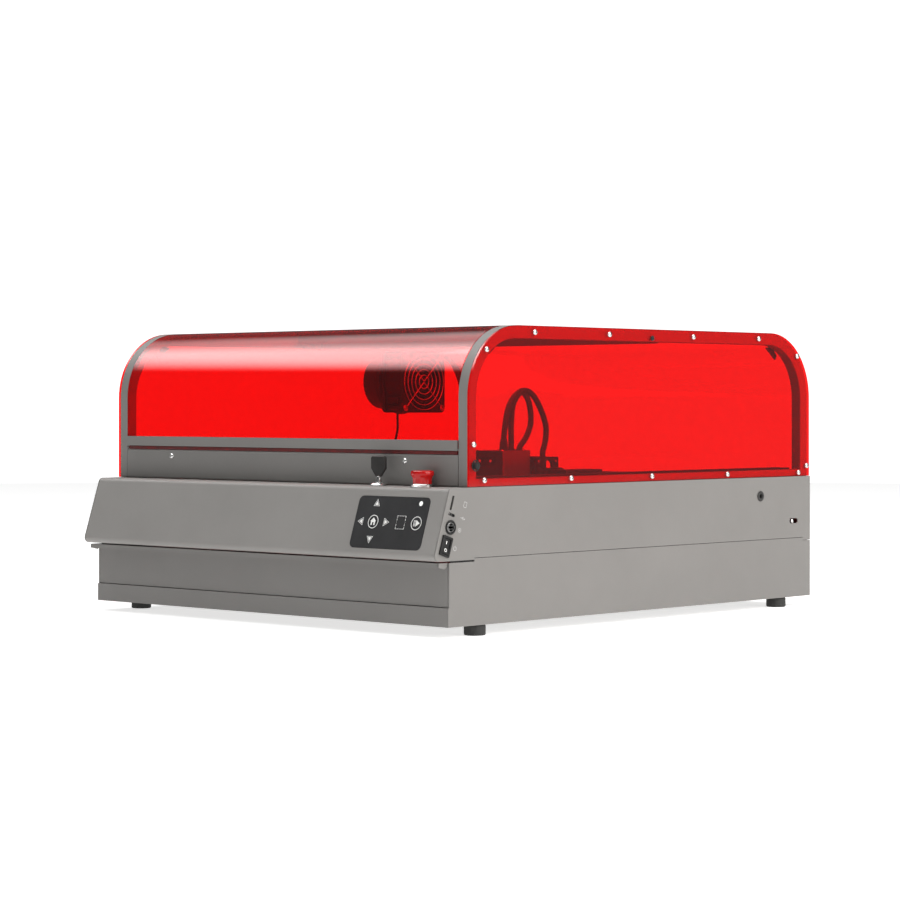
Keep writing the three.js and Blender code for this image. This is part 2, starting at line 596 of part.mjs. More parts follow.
function yCarriage(sign) {
  const skirtInner = BELT_X + 6;
  const plate = block(...mirrored(sign, skirtInner, RAIL_X + 9), BEAM_Y - CARRIAGE_HALF, BEAM_Y + CARRIAGE_HALF,
    RAIL_TOP + 0.4, RAIL_TOP + 4.4);
  const skirt = block(...mirrored(sign, skirtInner, RAIL_X - RAIL_WIDTH / 2 - 0.5),
    BEAM_Y - CARRIAGE_HALF, BEAM_Y + CARRIAGE_HALF, BELT_Z + 9.5, RAIL_TOP + 4.4);
  const clamp = block(...mirrored(sign, BELT_X - 3, skirtInner + 2), BEAM_Y - 10, BEAM_Y + 10,
    BELT_Z + 9.5, BELT_Z + 15);
  return join(plate, skirt, clamp);
}

function buildYAxis() {
  SIDES.forEach(([side, sign]) => {
    add(`y_rail_${side}`, yRail(sign), aluminium());
    add(`y_belt_${side}`, alongX(beltLoop(IDLER_Y, DRIVE_Y, BELT_Z),
      ...mirrored(sign, BELT_X - BELT_WIDTH / 2, BELT_X + BELT_WIDTH / 2), 5), blackRubber());
    add(`y_carriage_${side}`, yCarriage(sign), aluminium());
  });
  const motor = block(-MOTOR_SIZE / 2, MOTOR_SIZE / 2, DRIVE_Y - MOTOR_SIZE / 2, DRIVE_Y + MOTOR_SIZE / 2,
    BELT_Z - MOTOR_SIZE / 2, BELT_Z + MOTOR_SIZE / 2);
  const mountFoot = block(-MOTOR_SIZE / 2, MOTOR_SIZE / 2, DRIVE_Y + 15, DEPTH - SHEET - GAP, BELT_Z + 14, BELT_Z + 20);
  const bore = discX(DRIVE_Y, BELT_Z, SHAFT_RADIUS + 0.5, -30, 30, 16);
  add('y_motor', cut(join(motor, mountFoot), bore), blackPlastic());
  const shaft = discX(DRIVE_Y, BELT_Z, SHAFT_RADIUS, -BELT_X - 8, BELT_X + 8, 16);
  const pulleys = SIDES.map(([, sign]) => discX(DRIVE_Y, BELT_Z, PULLEY_RADIUS, ...mirrored(sign, BELT_X - 4, BELT_X + 5)));
  add('y_drive_shaft', join(shaft, ...pulleys), chrome());
}

function buildXAxis() {
  const beamHalf = BELT_X + 6 - GAP;
  const beam = block(-beamHalf, beamHalf, BEAM_Y - BEAM_SIZE / 2, BEAM_Y + BEAM_SIZE / 2, BEAM_TOP - BEAM_SIZE, BEAM_TOP);
  const post = discZ(X_IDLER_X, BEAM_Y, PULLEY_RADIUS, BEAM_TOP - 1, BEAM_TOP + 8);
  const shaftHole = discZ(X_MOTOR_X, BEAM_Y, SHAFT_RADIUS + 0.5, BEAM_TOP - BEAM_SIZE - 1, BEAM_TOP + 1, 16);
  add('x_beam', cut(join(beam, post), shaftHole), aluminium());
  const half = MOTOR_SIZE / 2;
  const motorTop = BEAM_TOP - BEAM_SIZE - GAP;
  const motor = block(X_MOTOR_X - half, X_MOTOR_X + half, BEAM_Y - half, BEAM_Y + half, motorTop - MOTOR_SIZE, motorTop);
  const motorBore = discZ(X_MOTOR_X, BEAM_Y, SHAFT_RADIUS + 0.5, motorTop - 12, motorTop + 1, 16);
  add('x_motor', cut(motor, motorBore), blackPlastic());
  add('x_drive_pulley', join(
    discZ(X_MOTOR_X, BEAM_Y, SHAFT_RADIUS, motorTop - 11, BEAM_TOP + 9, 16),
    discZ(X_MOTOR_X, BEAM_Y, PULLEY_RADIUS, BEAM_TOP + 0.8, BEAM_TOP + 8),
  ), chrome());
  add('x_belt', alongZ(beltLoop(X_MOTOR_X, X_IDLER_X, BEAM_Y), BEAM_TOP + 1, BEAM_TOP + 1 + BELT_WIDTH, 5), blackRubber());
}

// Laser head: carriage over the beam, diode module with its lens nozzle and cooling fan.
const LASER_FAN_Z = 150;
const LASER_FAN_Y = (HEAD_FRONT + HEAD_REAR) / 2;
const NOZZLE_BOTTOM = 88;
const CABLE_RADIUS = 3.2;
const CABLE_X = 190;

function buildHead() {
  const carriage = polygon([
    [HEAD_REAR + GAP, BEAM_TOP - 18], [BEAM_Y - 10.6, BEAM_TOP - 18], [BEAM_Y - 10.6, BEAM_TOP + 10],
    [BEAM_Y + 10.6, BEAM_TOP + 10], [BEAM_Y + 10.6, BEAM_TOP - 18], [BLOCK_REAR, BEAM_TOP - 18],
    [BLOCK_REAR, BLOCK_TOP], [HEAD_REAR + GAP, BLOCK_TOP],
  ]);
  add('head_carriage', alongX(carriage, HEAD_LEFT + 2, HEAD_RIGHT + 8), blackPlastic());

  const body = block(HEAD_LEFT, HEAD_RIGHT, HEAD_FRONT, HEAD_REAR, 112, HEAD_TOP);
  const middle = (HEAD_LEFT + HEAD_RIGHT) / 2;
  const nozzle = turnedZ(middle, LASER_FAN_Y, [[0, NOZZLE_BOTTOM], [7, NOZZLE_BOTTOM], [13, 100], [16, 113], [0, 113]]);
  const recess = discX(LASER_FAN_Y, LASER_FAN_Z, 20, HEAD_LEFT - 1, HEAD_LEFT + 9);
  add('laser_module', cut(join(body, nozzle), recess), finish(0xb0302c, 0.4, 0.5));
  add('laser_fan', fanRotor(LASER_FAN_Y, LASER_FAN_Z, 19, 7, HEAD_LEFT + 1, HEAD_LEFT + 8), blackPlastic());

  const long = tube([
    [CABLE_X, 183.2, HEAD_TOP + GAP], [CABLE_X, 183.2, 202], [CABLE_X, 186.5, 222], [CABLE_X, 192, 238],
    [CABLE_X, 203, 250], [CABLE_X, 217, 255], [CABLE_X, 231, 250], [CABLE_X, 244, 235],
    [CABLE_X, 253, 216], [CABLE_X, 252.5, 200], [CABLE_X, 248, 187], [CABLE_X, 248, BLOCK_TOP + GAP],
  ], CABLE_RADIUS, 8, 20);
  const short = tube([
    [CABLE_X - 2, 197.5, HEAD_TOP + GAP], [CABLE_X - 2, 197.5, 220], [CABLE_X - 2, 201, 240],
    [CABLE_X - 2, 213, 252.5], [CABLE_X - 2, 224, 247], [CABLE_X - 2, 229.5, 232],
    [CABLE_X - 2, 229.5, 217], [CABLE_X - 2, 222, 203], [CABLE_X - 2, 212, 193], [CABLE_X - 2, 212, HEAD_TOP + GAP],
  ], CABLE_RADIUS, 8, 18);
  const relief = turnedZ(CABLE_X, 183.2, [[0, HEAD_TOP + GAP], [5.4, HEAD_TOP + GAP], [4.2, 201], [0, 201]], 12);
  add('head_cables', join(long, short, relief), blackRubber());
}

// ---- Exhaust fan ----------------------------------------------------------------------------
function fanRotor(y, z, tip, blades, x0, x1) {
  const parts = [discX(y, z, tip * 0.4, x0, x1, 20)];
  for (let index = 0; index < blades; index += 1) {
    const blade = block(-0.8, 0.8, 0, tip * 0.97, -(x1 - x0) * 0.42, (x1 - x0) * 0.42);
    blade.rotateY(0.6).applyMatrix4(new THREE.Matrix4().makeBasis(
      new THREE.Vector3(0, 0, 1), new THREE.Vector3(0, 1, 0), new THREE.Vector3(-1, 0, 0)));
    blade.rotateX((2 * Math.PI * index) / blades).translate((x0 + x1) / 2, y, z);
    parts.push(blade);
  }
  return join(...parts);
}

function fanGrille() {
  const plate = roundedRectangle(FAN_Y - 38, FAN_Y + 38, FAN_Z - 38, FAN_Z + 38, 5);
  const rings = [[10, 21], [24, 35]];
  rings.forEach(([inner, outer]) => {
    for (let quarter = 0; quarter < 4; quarter += 1) {
      const from = (quarter * Math.PI) / 2 + Math.PI / 4;
      const [near, far] = [1.2 / inner, 1.2 / outer];
      const hole = new THREE.Path();
      hole.absarc(FAN_Y, FAN_Z, outer, from + far, from + Math.PI / 2 - far, false);
      hole.absarc(FAN_Y, FAN_Z, inner, from + Math.PI / 2 - near, from + near, true);
      plate.holes.push(hole);
    }
  });
  return alongX(plate, FAN_FACE_X + GAP, FAN_FACE_X + 1.5);
}

function buildFan() {
  const half = FAN_SIZE / 2;
  const housing = roundedRectangle(FAN_Y - half, FAN_Y + half, FAN_Z - half, FAN_Z + half, 6);
  housing.holes.push(circle(FAN_Y, FAN_Z, FAN_BORE, 24));
  add('exhaust_fan_housing', alongX(housing, -FRAME_OUTER + GAP, FAN_FACE_X), blackPlastic());
  add('exhaust_impeller', fanRotor(FAN_Y, FAN_Z, 35, 7, -270, -246), blackPlastic());
  add('fan_grille', fanGrille(), chrome());
  const innerRadius = SPIGOT_RADIUS - 2.2;
  const flangeFace = -SIDE - GAP;
  add('duct_spigot', turnedX(FAN_Y, FAN_Z, [
    [innerRadius, SPIGOT_END_X], [SPIGOT_RADIUS, SPIGOT_END_X], [SPIGOT_RADIUS, -297],
    [SPIGOT_RADIUS + 1.6, -295.5], [SPIGOT_RADIUS + 1.6, -293.5], [SPIGOT_RADIUS, -292],
    [SPIGOT_RADIUS, flangeFace - 2.5], [SPIGOT_RADIUS + 7, flangeFace - 2.5], [SPIGOT_RADIUS + 7, flangeFace],
    [SPIGOT_RADIUS, flangeFace], [SPIGOT_RADIUS, -FRAME_OUTER - GAP], [innerRadius, -FRAME_OUTER - GAP],
    [innerRadius, SPIGOT_END_X],
  ], 24), blackPlastic());

  // The fan's lead drops to the base, runs forward along the left wall and ends at the board.
  const dropX = -254;
  const dropY = FAN_Y - half + 6;
  const slitX = -262.25;
  const wallX = -270;
  add('fan_cable', tube([
    [dropX, dropY, FAN_Z - half - GAP], [dropX, dropY, 205], [slitX, dropY, 178],
    [slitX, dropY, 150], [slitX, dropY, 134], [wallX, dropY - 30, 120],
    [wallX, 240, 118], [wallX, 120, 118], [wallX, 60, 118], [wallX + 6, 34, 120], [-240, 20, 122],
    [-200, 16, 122], [-150 - GAP, 16, 122],
  ], 1.5, 8, 40), blackRubber());
}

buildBase();
buildCover();
buildDrawer();
buildYAxis();
buildXAxis();
buildHead();
buildFan();

// The origin is under the middle of the whole machine, on the surface that it stands on.
const outer = new THREE.Box3().setFromObject(machine);
machine.position.set(-(outer.min.x + outer.max.x) / 2, -(outer.min.y + outer.max.y) / 2, -outer.min.z);

export default machine;
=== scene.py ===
"""The laser engraver's looks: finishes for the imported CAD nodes, and finer pieces where they show.

Lengths inside this script are machine millimetres: x from the middle of the body, y back from the
lower front panel and z up from the ground. at() turns them into the frame's metres.
"""
import math
import random

import bmesh
import bpy
from mathutils import Matrix, Vector


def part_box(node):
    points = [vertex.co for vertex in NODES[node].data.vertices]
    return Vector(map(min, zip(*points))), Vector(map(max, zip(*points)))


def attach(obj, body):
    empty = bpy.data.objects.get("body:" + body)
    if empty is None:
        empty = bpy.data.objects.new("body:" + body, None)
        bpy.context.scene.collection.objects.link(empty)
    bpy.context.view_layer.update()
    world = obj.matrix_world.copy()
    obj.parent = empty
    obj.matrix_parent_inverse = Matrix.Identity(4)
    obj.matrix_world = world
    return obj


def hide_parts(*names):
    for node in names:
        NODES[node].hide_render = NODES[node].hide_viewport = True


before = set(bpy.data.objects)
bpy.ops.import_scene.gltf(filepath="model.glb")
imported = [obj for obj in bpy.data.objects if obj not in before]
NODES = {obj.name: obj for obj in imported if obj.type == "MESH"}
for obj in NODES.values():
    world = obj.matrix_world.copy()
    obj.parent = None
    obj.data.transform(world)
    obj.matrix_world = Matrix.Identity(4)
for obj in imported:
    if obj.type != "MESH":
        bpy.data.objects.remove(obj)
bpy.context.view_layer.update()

MM = 0.001

# The driving dimensions, as the CAD model has them.
DEPTH = 630.0
BASE_TOP = 154.0
COVER_TOP = 323.0
COVER_FRONT = 30.0
COVER_REAR = 628.0
ARC_RADIUS = 76.0
ACRYLIC = 3.0
GAP = 0.35
FRAME_BORDER = 14.0
FRAME_FOOT = 8.0
FRAME_BAND = 12.5
COVER_HALF = 264.0
SLANT = math.atan2(24.5, 74.6)
HINGE_Y = 329.7
HINGE_Z = 313.0
WALL_X = 280.0
FAN_Y = 506.0
FAN_Z = 268.5
LIGHT_BUTTON = (39.5, 176.3)

SIDES = (("left", -1), ("right", 1))
CORNERS = ((-1, -1), (-1, 1), (1, -1), (1, 1))

SHELL_LOW, SHELL_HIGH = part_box("lower_shell")
SHIFT = Vector(((SHELL_LOW.x + SHELL_HIGH.x) / 2, SHELL_HIGH.y - DEPTH * MM, 0.0))


def at(x, y, z):
    """A machine point in the frame's metres."""
    return Vector((x, y, z)) * MM + SHIFT


def machine_box(node):
    """A CAD node's lowest and highest corners in machine millimetres."""
    low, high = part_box(node)
    return (low - SHIFT) / MM, (high - SHIFT) / MM


# ---------------------------------------------------------------- node helpers

class Tree:
    """A material's node tree, with short calls for the nodes that the finishes share."""

    def __init__(self, name):
        self.material = bpy.data.materials.new(name)
        self.material.use_nodes = True
        self.nodes = self.material.node_tree.nodes
        self.links = self.material.node_tree.links
        self.nodes.clear()
        self.out = self.nodes.new("ShaderNodeOutputMaterial")
        self.place = self.nodes.new("ShaderNodeTexCoord").outputs["Object"]

    def link(self, source, target):
        self.links.new(source, target)

    def stretch(self, scale):
        node = self.nodes.new("ShaderNodeMapping")
        node.inputs["Scale"].default_value = scale
        self.link(self.place, node.inputs["Vector"])
        return node.outputs["Vector"]

    def noise(self, scale, detail=2.0, roughness=0.5, vector=None):
        node = self.nodes.new("ShaderNodeTexNoise")
        node.inputs["Scale"].default_value = scale
        node.inputs["Detail"].default_value = detail
        node.inputs["Roughness"].default_value = roughness
        self.link(vector or self.place, node.inputs["Vector"])
        return node.outputs["Fac"]

    def cells(self, scale, vector=None, feature="F1"):
        node = self.nodes.new("ShaderNodeTexVoronoi")
        node.feature = feature
        node.inputs["Scale"].default_value = scale
        self.link(vector or self.place, node.inputs["Vector"])
        return node.outputs["Distance"]

    def wave(self, scale, axis, profile="SIN"):
        node = self.nodes.new("ShaderNodeTexWave")
        node.bands_direction = axis
        node.wave_profile = profile
        node.inputs["Scale"].default_value = scale
        self.link(self.place, node.inputs["Vector"])
        return node.outputs["Fac"]

    def span(self, value, low_in, high_in, low_out, high_out):
        node = self.nodes.new("ShaderNodeMapRange")
        node.inputs["From Min"].default_value = low_in
        node.inputs["From Max"].default_value = high_in
        node.inputs["To Min"].default_value = low_out
        node.inputs["To Max"].default_value = high_out
        self.link(value, node.inputs["Value"])
        return node.outputs["Result"]

    def math(self, operation, first, second):
        node = self.nodes.new("ShaderNodeMath")
        node.operation = operation
        for socket, value in zip(node.inputs, (first, second)):
            if isinstance(value, (int, float)):
                socket.default_value = value
            else:
                self.link(value, socket)
        return node.outputs["Value"]

    def blend(self, factor, first, second):
        """A colour between two, each a colour or a socket."""
        node = self.nodes.new("ShaderNodeMix")
        node.data_type = "RGBA"
        self.link(factor, node.inputs["Factor"])
        for socket, value in ((node.inputs[6], first), (node.inputs[7], second)):
            if isinstance(value, tuple):
                socket.default_value = (*value, 1.0)
            else:
                self.link(value, socket)
        return node.outputs[2]

    def bump(self, height, strength, distance, under=None):
        node = self.nodes.new("ShaderNodeBump")
        node.inputs["Strength"].default_value = strength
        node.inputs["Distance"].default_value = distance
        self.link(height, node.inputs["Height"])
        if under is not None:
            self.link(under, node.inputs["Normal"])
        return node.outputs["Normal"]

    def edges(self, radius, low, high):
        """1 along sharp edges and 0 on flat faces, from how far a rounded normal leans away."""
        bevel = self.nodes.new("ShaderNodeBevel")
        bevel.samples = 4
        bevel.inputs["Radius"].default_value = radius
        geometry = self.nodes.new("ShaderNodeNewGeometry")
        dot = self.nodes.new("ShaderNodeVectorMath")
        dot.operation = "DOT_PRODUCT"
        self.link(bevel.outputs["Normal"], dot.inputs[0])
        self.link(geometry.outputs["Normal"], dot.inputs[1])
        return self.span(dot.outputs["Value"], high, low, 0.0, 1.0)

    def principled(self, colour, roughness, normal=None, **values):
        """The Principled shader: colour and roughness may be plain values or sockets."""
        node = self.nodes.new("ShaderNodeBsdfPrincipled")
        if isinstance(colour, tuple):
            node.inputs["Base Color"].default_value = (*colour, 1.0)
        else:
            self.link(colour, node.inputs["Base Color"])
        if isinstance(roughness, float):
            node.inputs["Roughness"].default_value = roughness
        else:
            self.link(roughness, node.inputs["Roughness"])
        if normal is not None:
            self.link(normal, node.inputs["Normal"])
        for key, value in values.items():
            node.inputs[key.replace("_", " ").title().replace("Ior", "IOR")].default_value = value
        return node

    def finish(self, shader):
        self.link(shader.outputs[0], self.out.inputs["Surface"])
        return self.material


def tone(colour, factor):
    return tuple(min(1.0, channel * factor) for channel in colour)


# ---------------------------------------------------------------- finishes

PAINT = (0.190, 0.184, 0.176)


def powder_coat(name, colour=PAINT, gloss=0.42, painted_flank_light=1.0):
    """Baked grey powder paint: orange peel, mottling and rubbed edges; a factor other than 1 scales the
    colour of the faces that look along X, painted light on those flanks.
    """
    tree = Tree(name)
    peel = tree.noise(1500.0, 3.0, 0.55)
    mottle = tree.noise(9.0, 4.0, 0.6)
    smudge = tree.noise(26.0, 5.0, 0.62)
    speck = tree.noise(4200.0, 1.0)
    base = tree.blend(tree.span(mottle, 0.35, 0.65, 0.0, 1.0), tone(colour, 0.965), tone(colour, 1.03))
    fleck = tree.span(speck, 0.62, 0.74, 0.0, 0.16)
    base = tree.blend(fleck, base, tone(colour, 1.7))
    worn = tree.math("MULTIPLY", tree.edges(0.0009, 0.86, 0.985), tree.span(smudge, 0.42, 0.66, 0.12, 0.5))
    base = tree.blend(worn, base, tone(colour, 1.5))
    # Painted light: a lighter copy of the paint on the faces that look along X, standing in for the light
    # those flanks catch.
    if painted_flank_light != 1.0:
        split = tree.nodes.new("ShaderNodeSeparateXYZ")
        tree.link(tree.nodes.new("ShaderNodeNewGeometry").outputs["Normal"], split.inputs[0])
        lit_flank_mask = tree.span(tree.math("ABSOLUTE", split.outputs["X"], 0.0), 0.9, 0.99, 0.0, 1.0)
        base = tree.blend(lit_flank_mask, base, tone(colour, painted_flank_light))
    rough = tree.span(smudge, 0.3, 0.7, gloss - 0.05, gloss + 0.07)
    normal = tree.bump(peel, 0.16, 0.0004)
    return tree.finish(tree.principled(base, rough, normal, specular_ior_level=0.2))


def acrylic(name):
    """Red laser-safe sheet: it lets red through, mirrors the studio a little, and has fine dust."""
    tree = Tree(name)
    clear = tree.nodes.new("ShaderNodeBsdfTransparent")
    clear.inputs["Color"].default_value = (1.0, 0.062, 0.058, 1.0)
    haze = tree.noise(40.0, 4.0, 0.6)
    dust = tree.noise(2600.0, 1.0)
    ripple = tree.bump(tree.noise(7.0, 1.0), 0.05, 0.004)
    body = tree.principled(
        tree.blend(tree.span(dust, 0.70, 0.78, 0.0, 0.5), (0.30, 0.004, 0.004), (0.55, 0.20, 0.18)),
        tree.span(haze, 0.3, 0.7, 0.03, 0.08),
        ripple,
        specular_ior_level=0.5,
    )
    lean = tree.nodes.new("ShaderNodeLayerWeight")
    lean.inputs["Blend"].default_value = 0.5
    tree.link(ripple, lean.inputs["Normal"])
    grazing = tree.math("POWER", lean.outputs["Facing"], 5.0)
    mirror = tree.span(grazing, 0.0, 1.0, 0.075, 1.0)
    rim = tree.edges(0.0008, 0.80, 0.97)
    share = tree.math("MAXIMUM", mirror, tree.math("MULTIPLY", rim, 0.28))
    mix = tree.nodes.new("ShaderNodeMixShader")
    tree.link(share, mix.inputs[0])
    tree.link(clear.outputs[0], mix.inputs[1])
    glossy = tree.nodes.new("ShaderNodeBsdfGlossy")
    glossy.inputs["Roughness"].default_value = 0.05
    tree.link(ripple, glossy.inputs["Normal"])
    second = tree.nodes.new("ShaderNodeMixShader")
    tree.link(tree.math("MULTIPLY", rim, 0.7), second.inputs[0])
    tree.link(glossy.outputs[0], second.inputs[1])
    tree.link(body.outputs[0], second.inputs[2])
    tree.link(second.outputs[0], mix.inputs[2])
    dyed = tree.nodes.new("ShaderNodeBsdfDiffuse")
    dyed.inputs["Color"].default_value = (1.0, 0.006, 0.006, 1.0)
    third = tree.nodes.new("ShaderNodeMixShader")
    third.inputs[0].default_value = 0.012
    tree.link(mix.outputs[0], third.inputs[1])
    tree.link(dyed.outputs[0], third.inputs[2])
    return tree.finish(third)


def moulded(name, colour, gloss=0.45, grain=900.0, depth=0.0005):
    """Moulded plastic with a fine spark-eroded grain, finger grease and paler corners."""
    tree = Tree(name)
    leather = tree.cells(grain)
    grease = tree.noise(45.0, 4.0, 0.6)
    base = tree.blend(tree.span(grease, 0.35, 0.65, 0.0, 1.0), tone(colour, 0.86), tone(colour, 1.16))
    base = tree.blend(tree.math("MULTIPLY", tree.edges(0.0006, 0.85, 0.98), 0.35), base, tone(colour, 2.1))
    rough = tree.span(grease, 0.3, 0.7, gloss - 0.07, gloss + 0.09)
    return tree.finish(
        tree.principled(base, rough, tree.bump(leather, 0.22, depth), specular_ior_level=0.1)
    )


def rubber(name, colour=(0.018, 0.018, 0.017)):
    """Dull rubber: a coarse soft grain with a dusty bloom."""
    tree = Tree(name)
    bloom = tree.noise(120.0, 5.0, 0.7)
    base = tree.blend(tree.span(bloom, 0.4, 0.75, 0.0, 1.0), colour, tone(colour, 2.3))
    grain = tree.bump(tree.noise(1600.0, 3.0, 0.6), 0.4, 0.0006)
    return tree.finish(tree.principled(base, tree.span(bloom, 0.3, 0.7, 0.62, 0.85), grain))


def metal(name, colour, gloss=0.22, brushed=None, depth=0.00015):
    """Bare or plated metal: brushed along one axis, or with fine swirl marks."""
    tree = Tree(name)
    if brushed is None:
        marks = tree.noise(420.0, 6.0, 0.7)
    else:
        marks = tree.noise(
            1.0, 5.0, 0.7, tree.stretch(tuple(12.0 if axis == brushed else 2600.0 for axis in "XYZ")),
        )
    stain = tree.noise(30.0, 5.0, 0.65)
    base = tree.blend(tree.span(stain, 0.35, 0.7, 0.0, 1.0), tone(colour, 1.04), tone(colour, 0.82))
    rough = tree.math(
        "ADD", tree.span(marks, 0.3, 0.7, gloss - 0.05, gloss + 0.07),
        tree.span(stain, 0.5, 0.8, 0.0, 0.06),
    )
    return tree.finish(tree.principled(base, rough, tree.bump(marks, 0.12, depth), metallic=1.0))


def anodised(name, colour, brushed="X", gloss=0.36):
    """Dyed anodised aluminium: drawn lines, a satin sheen and bright knocked edges."""
    tree = Tree(name)
    scale = tuple(14.0 if axis == brushed else 1900.0 for axis in "XYZ")
    lines = tree.noise(1.0, 4.0, 0.65, tree.stretch(scale))
    cloud = tree.noise(22.0, 4.0, 0.6)
    base = tree.blend(tree.span(lines, 0.35, 0.65, 0.0, 1.0), tone(colour, 0.85), tone(colour, 1.2))
    base = tree.blend(tree.math("MULTIPLY", tree.edges(0.0007, 0.85, 0.98), 0.45), base, (0.62, 0.61, 0.60))
    rough = tree.span(cloud, 0.3, 0.7, gloss - 0.06, gloss + 0.08)
    return tree.finish(tree.principled(base, rough, tree.bump(lines, 0.14, 0.0002), metallic=0.75))


def membrane(name, colour=(0.033, 0.033, 0.034)):
    """The keypad's printed polyester skin: a fine velvet texture and rubbed patches."""
    tree = Tree(name)
    velvet = tree.noise(5200.0, 2.0, 0.6)
    rubbed = tree.noise(38.0, 4.0, 0.6)
    base = tree.blend(tree.span(rubbed, 0.35, 0.7, 0.0, 1.0), tone(colour, 0.92), tone(colour, 1.14))
    rough = tree.span(rubbed, 0.3, 0.7, 0.5, 0.64)
    return tree.finish(
        tree.principled(base, rough, tree.bump(velvet, 0.1, 0.0002), specular_ior_level=0.05)
    )


def ink(name, colour=(0.82, 0.82, 0.80)):
    """Screen-printed ink: slightly uneven cover and a dry surface."""
    tree = Tree(name)
    cover = tree.noise(700.0, 3.0, 0.6)
    base = tree.blend(tree.span(cover, 0.3, 0.7, 0.0, 1.0), tone(colour, 0.9), tone(colour, 1.06))
    return tree.finish(
        tree.principled(base, tree.span(cover, 0.3, 0.7, 0.5, 0.62), tree.bump(cover, 0.2, 0.0001))
    )


def glossy_red(name, colour=(0.40, 0.003, 0.003)):
    """The stop button's glossy moulded cap, a little scuffed."""
    tree = Tree(name)
    scuff = tree.noise(160.0, 6.0, 0.7)
    base = tree.blend(tree.span(scuff, 0.4, 0.7, 0.0, 1.0), tone(colour, 0.9), tone(colour, 1.15))
    rough = tree.span(scuff, 0.35, 0.7, 0.14, 0.26)
    node = tree.principled(
        base, rough, tree.bump(scuff, 0.05, 0.0002), specular_ior_level=0.25, coat_weight=0.12,
        coat_roughness=0.06,
    )
    return tree.finish(node)


def board(name):
    """Circuit board: green mask over copper tracks, with tinned pads."""
    tree = Tree(name)
    tracks = tree.nodes.new("ShaderNodeTexBrick")
    tracks.inputs["Scale"].default_value = 160.0
    tracks.inputs["Mortar Size"].default_value = 0.05
    tree.link(tree.place, tracks.inputs["Vector"])
    pads = tree.cells(260.0)
    base = tree.blend(tracks.outputs["Fac"], (0.006, 0.045, 0.018), (0.012, 0.10, 0.04))
    base = tree.blend(tree.span(pads, 0.16, 0.12, 0.0, 1.0), base, (0.55, 0.52, 0.42))
    return tree.finish(
        tree.principled(
            base,
            tree.span(pads, 0.0, 0.6, 0.22, 0.42),
            tree.bump(tracks.outputs["Fac"], 0.25, 0.0003),
        )
    )


def zinc(name, colour=(0.46, 0.46, 0.45)):
    """Galvanised steel strip: spangle, dull patches and laser soot on the top edges."""
    tree = Tree(name)
    spangle = tree.cells(140.0)
    soot = tree.noise(16.0, 4.0, 0.6)
    base = tree.blend(tree.span(spangle, 0.1, 0.7, 0.0, 1.0), tone(colour, 1.1), tone(colour, 0.72))
    base = tree.blend(tree.span(soot, 0.52, 0.7, 0.0, 0.7), base, (0.07, 0.05, 0.035))
    return tree.finish(
        tree.principled(
            base,
            tree.span(spangle, 0.1, 0.7, 0.3, 0.5),
            tree.bump(spangle, 0.1, 0.0003),
            metallic=0.9,
        )
    )


def sleeve(name, colour=(0.020, 0.020, 0.021), pitch=850.0):
    """Cable jacket or braided sleeve: a fine twill over a soft sheen."""
    tree = Tree(name)
    weave = tree.math("MULTIPLY", tree.wave(pitch, "DIAGONAL"), tree.wave(pitch, "Z"))
    dust = tree.noise(90.0, 4.0, 0.6)
    base = tree.blend(tree.span(weave, 0.1, 0.8, 0.0, 1.0), tone(colour, 0.7), tone(colour, 1.6))
    return tree.finish(
        tree.principled(base, tree.span(dust, 0.3, 0.7, 0.42, 0.6), tree.bump(weave, 0.4, 0.0004))
    )


def rubber_belt(name, axis):
    """Toothed belt: teeth at 2 mm pitch across its length and glass-fibre threads."""
    tree = Tree(name)
    teeth = tree.wave(157.0, axis)
    thread = tree.noise(2200.0, 2.0)
    base = tree.blend(tree.span(teeth, 0.2, 0.8, 0.0, 1.0), (0.012, 0.012, 0.013), (0.032, 0.032, 0.034))
    return tree.finish(
        tree.principled(base, tree.span(thread, 0.3, 0.7, 0.55, 0.75), tree.bump(teeth, 0.7, 0.0012))
    )


def lamp(name, colour):
    """A moulded light pipe, lit faintly from inside."""
    tree = Tree(name)
    frost = tree.noise(900.0, 3.0)
    base = tree.blend(tree.span(frost, 0.3, 0.7, 0.0, 1.0), tone(colour, 0.92), colour)
    node = tree.principled(base, tree.span(frost, 0.3, 0.7, 0.2, 0.32), tree.bump(frost, 0.15, 0.0002))
    node.inputs["Emission Color"].default_value = (*colour, 1.0)
    node.inputs["Emission Strength"].default_value = 0.35
    return tree.finish(node)


# ---------------------------------------------------------------- mesh tools

def add_piece(name, shape, body, material, smooth=False, replaces=()):
    """Makes an object of a bmesh that is in the frame's metres, and rides it on its body."""
    mesh = bpy.data.meshes.new(name)
    bmesh.ops.recalc_face_normals(shape, faces=shape.faces)
    shape.to_mesh(mesh)
    shape.free()
    piece = bpy.data.objects.new(name, mesh)
    bpy.context.scene.collection.objects.link(piece)
    if material is not None:
        mesh.materials.append(material)
    if smooth:
        smooth_faces(mesh)
    if body is not None:
        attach(piece, body)
    if replaces:
        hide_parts(*replaces)
    return piece


def smooth_faces(mesh, angle=0.62):
    """Smooth shading, with the edges sharper than the angle kept crisp."""
    shape = bmesh.new()
    shape.from_mesh(mesh)
    for face in shape.faces:
        face.smooth = True
    for edge in shape.edges:
        edge.smooth = edge.is_manifold and edge.calc_face_angle(3.0) < angle
    shape.to_mesh(mesh)
    shape.free()


def soften(piece, width, segments=2):
    """Rounds a piece's sharp edges by a width in millimetres."""
    bevel = piece.modifiers.new("soft_edges", "BEVEL")
    bevel.width = width * MM
    bevel.segments = segments
    bevel.limit_method = "ANGLE"
    bevel.angle_limit = 0.6
    bevel.harden_normals = False
    return piece


def basis(axis):
    """Two directions square to an axis."""
    axis = Vector(axis).normalized()
    side = axis.orthogonal().normalized()
    return side, axis.cross(side)


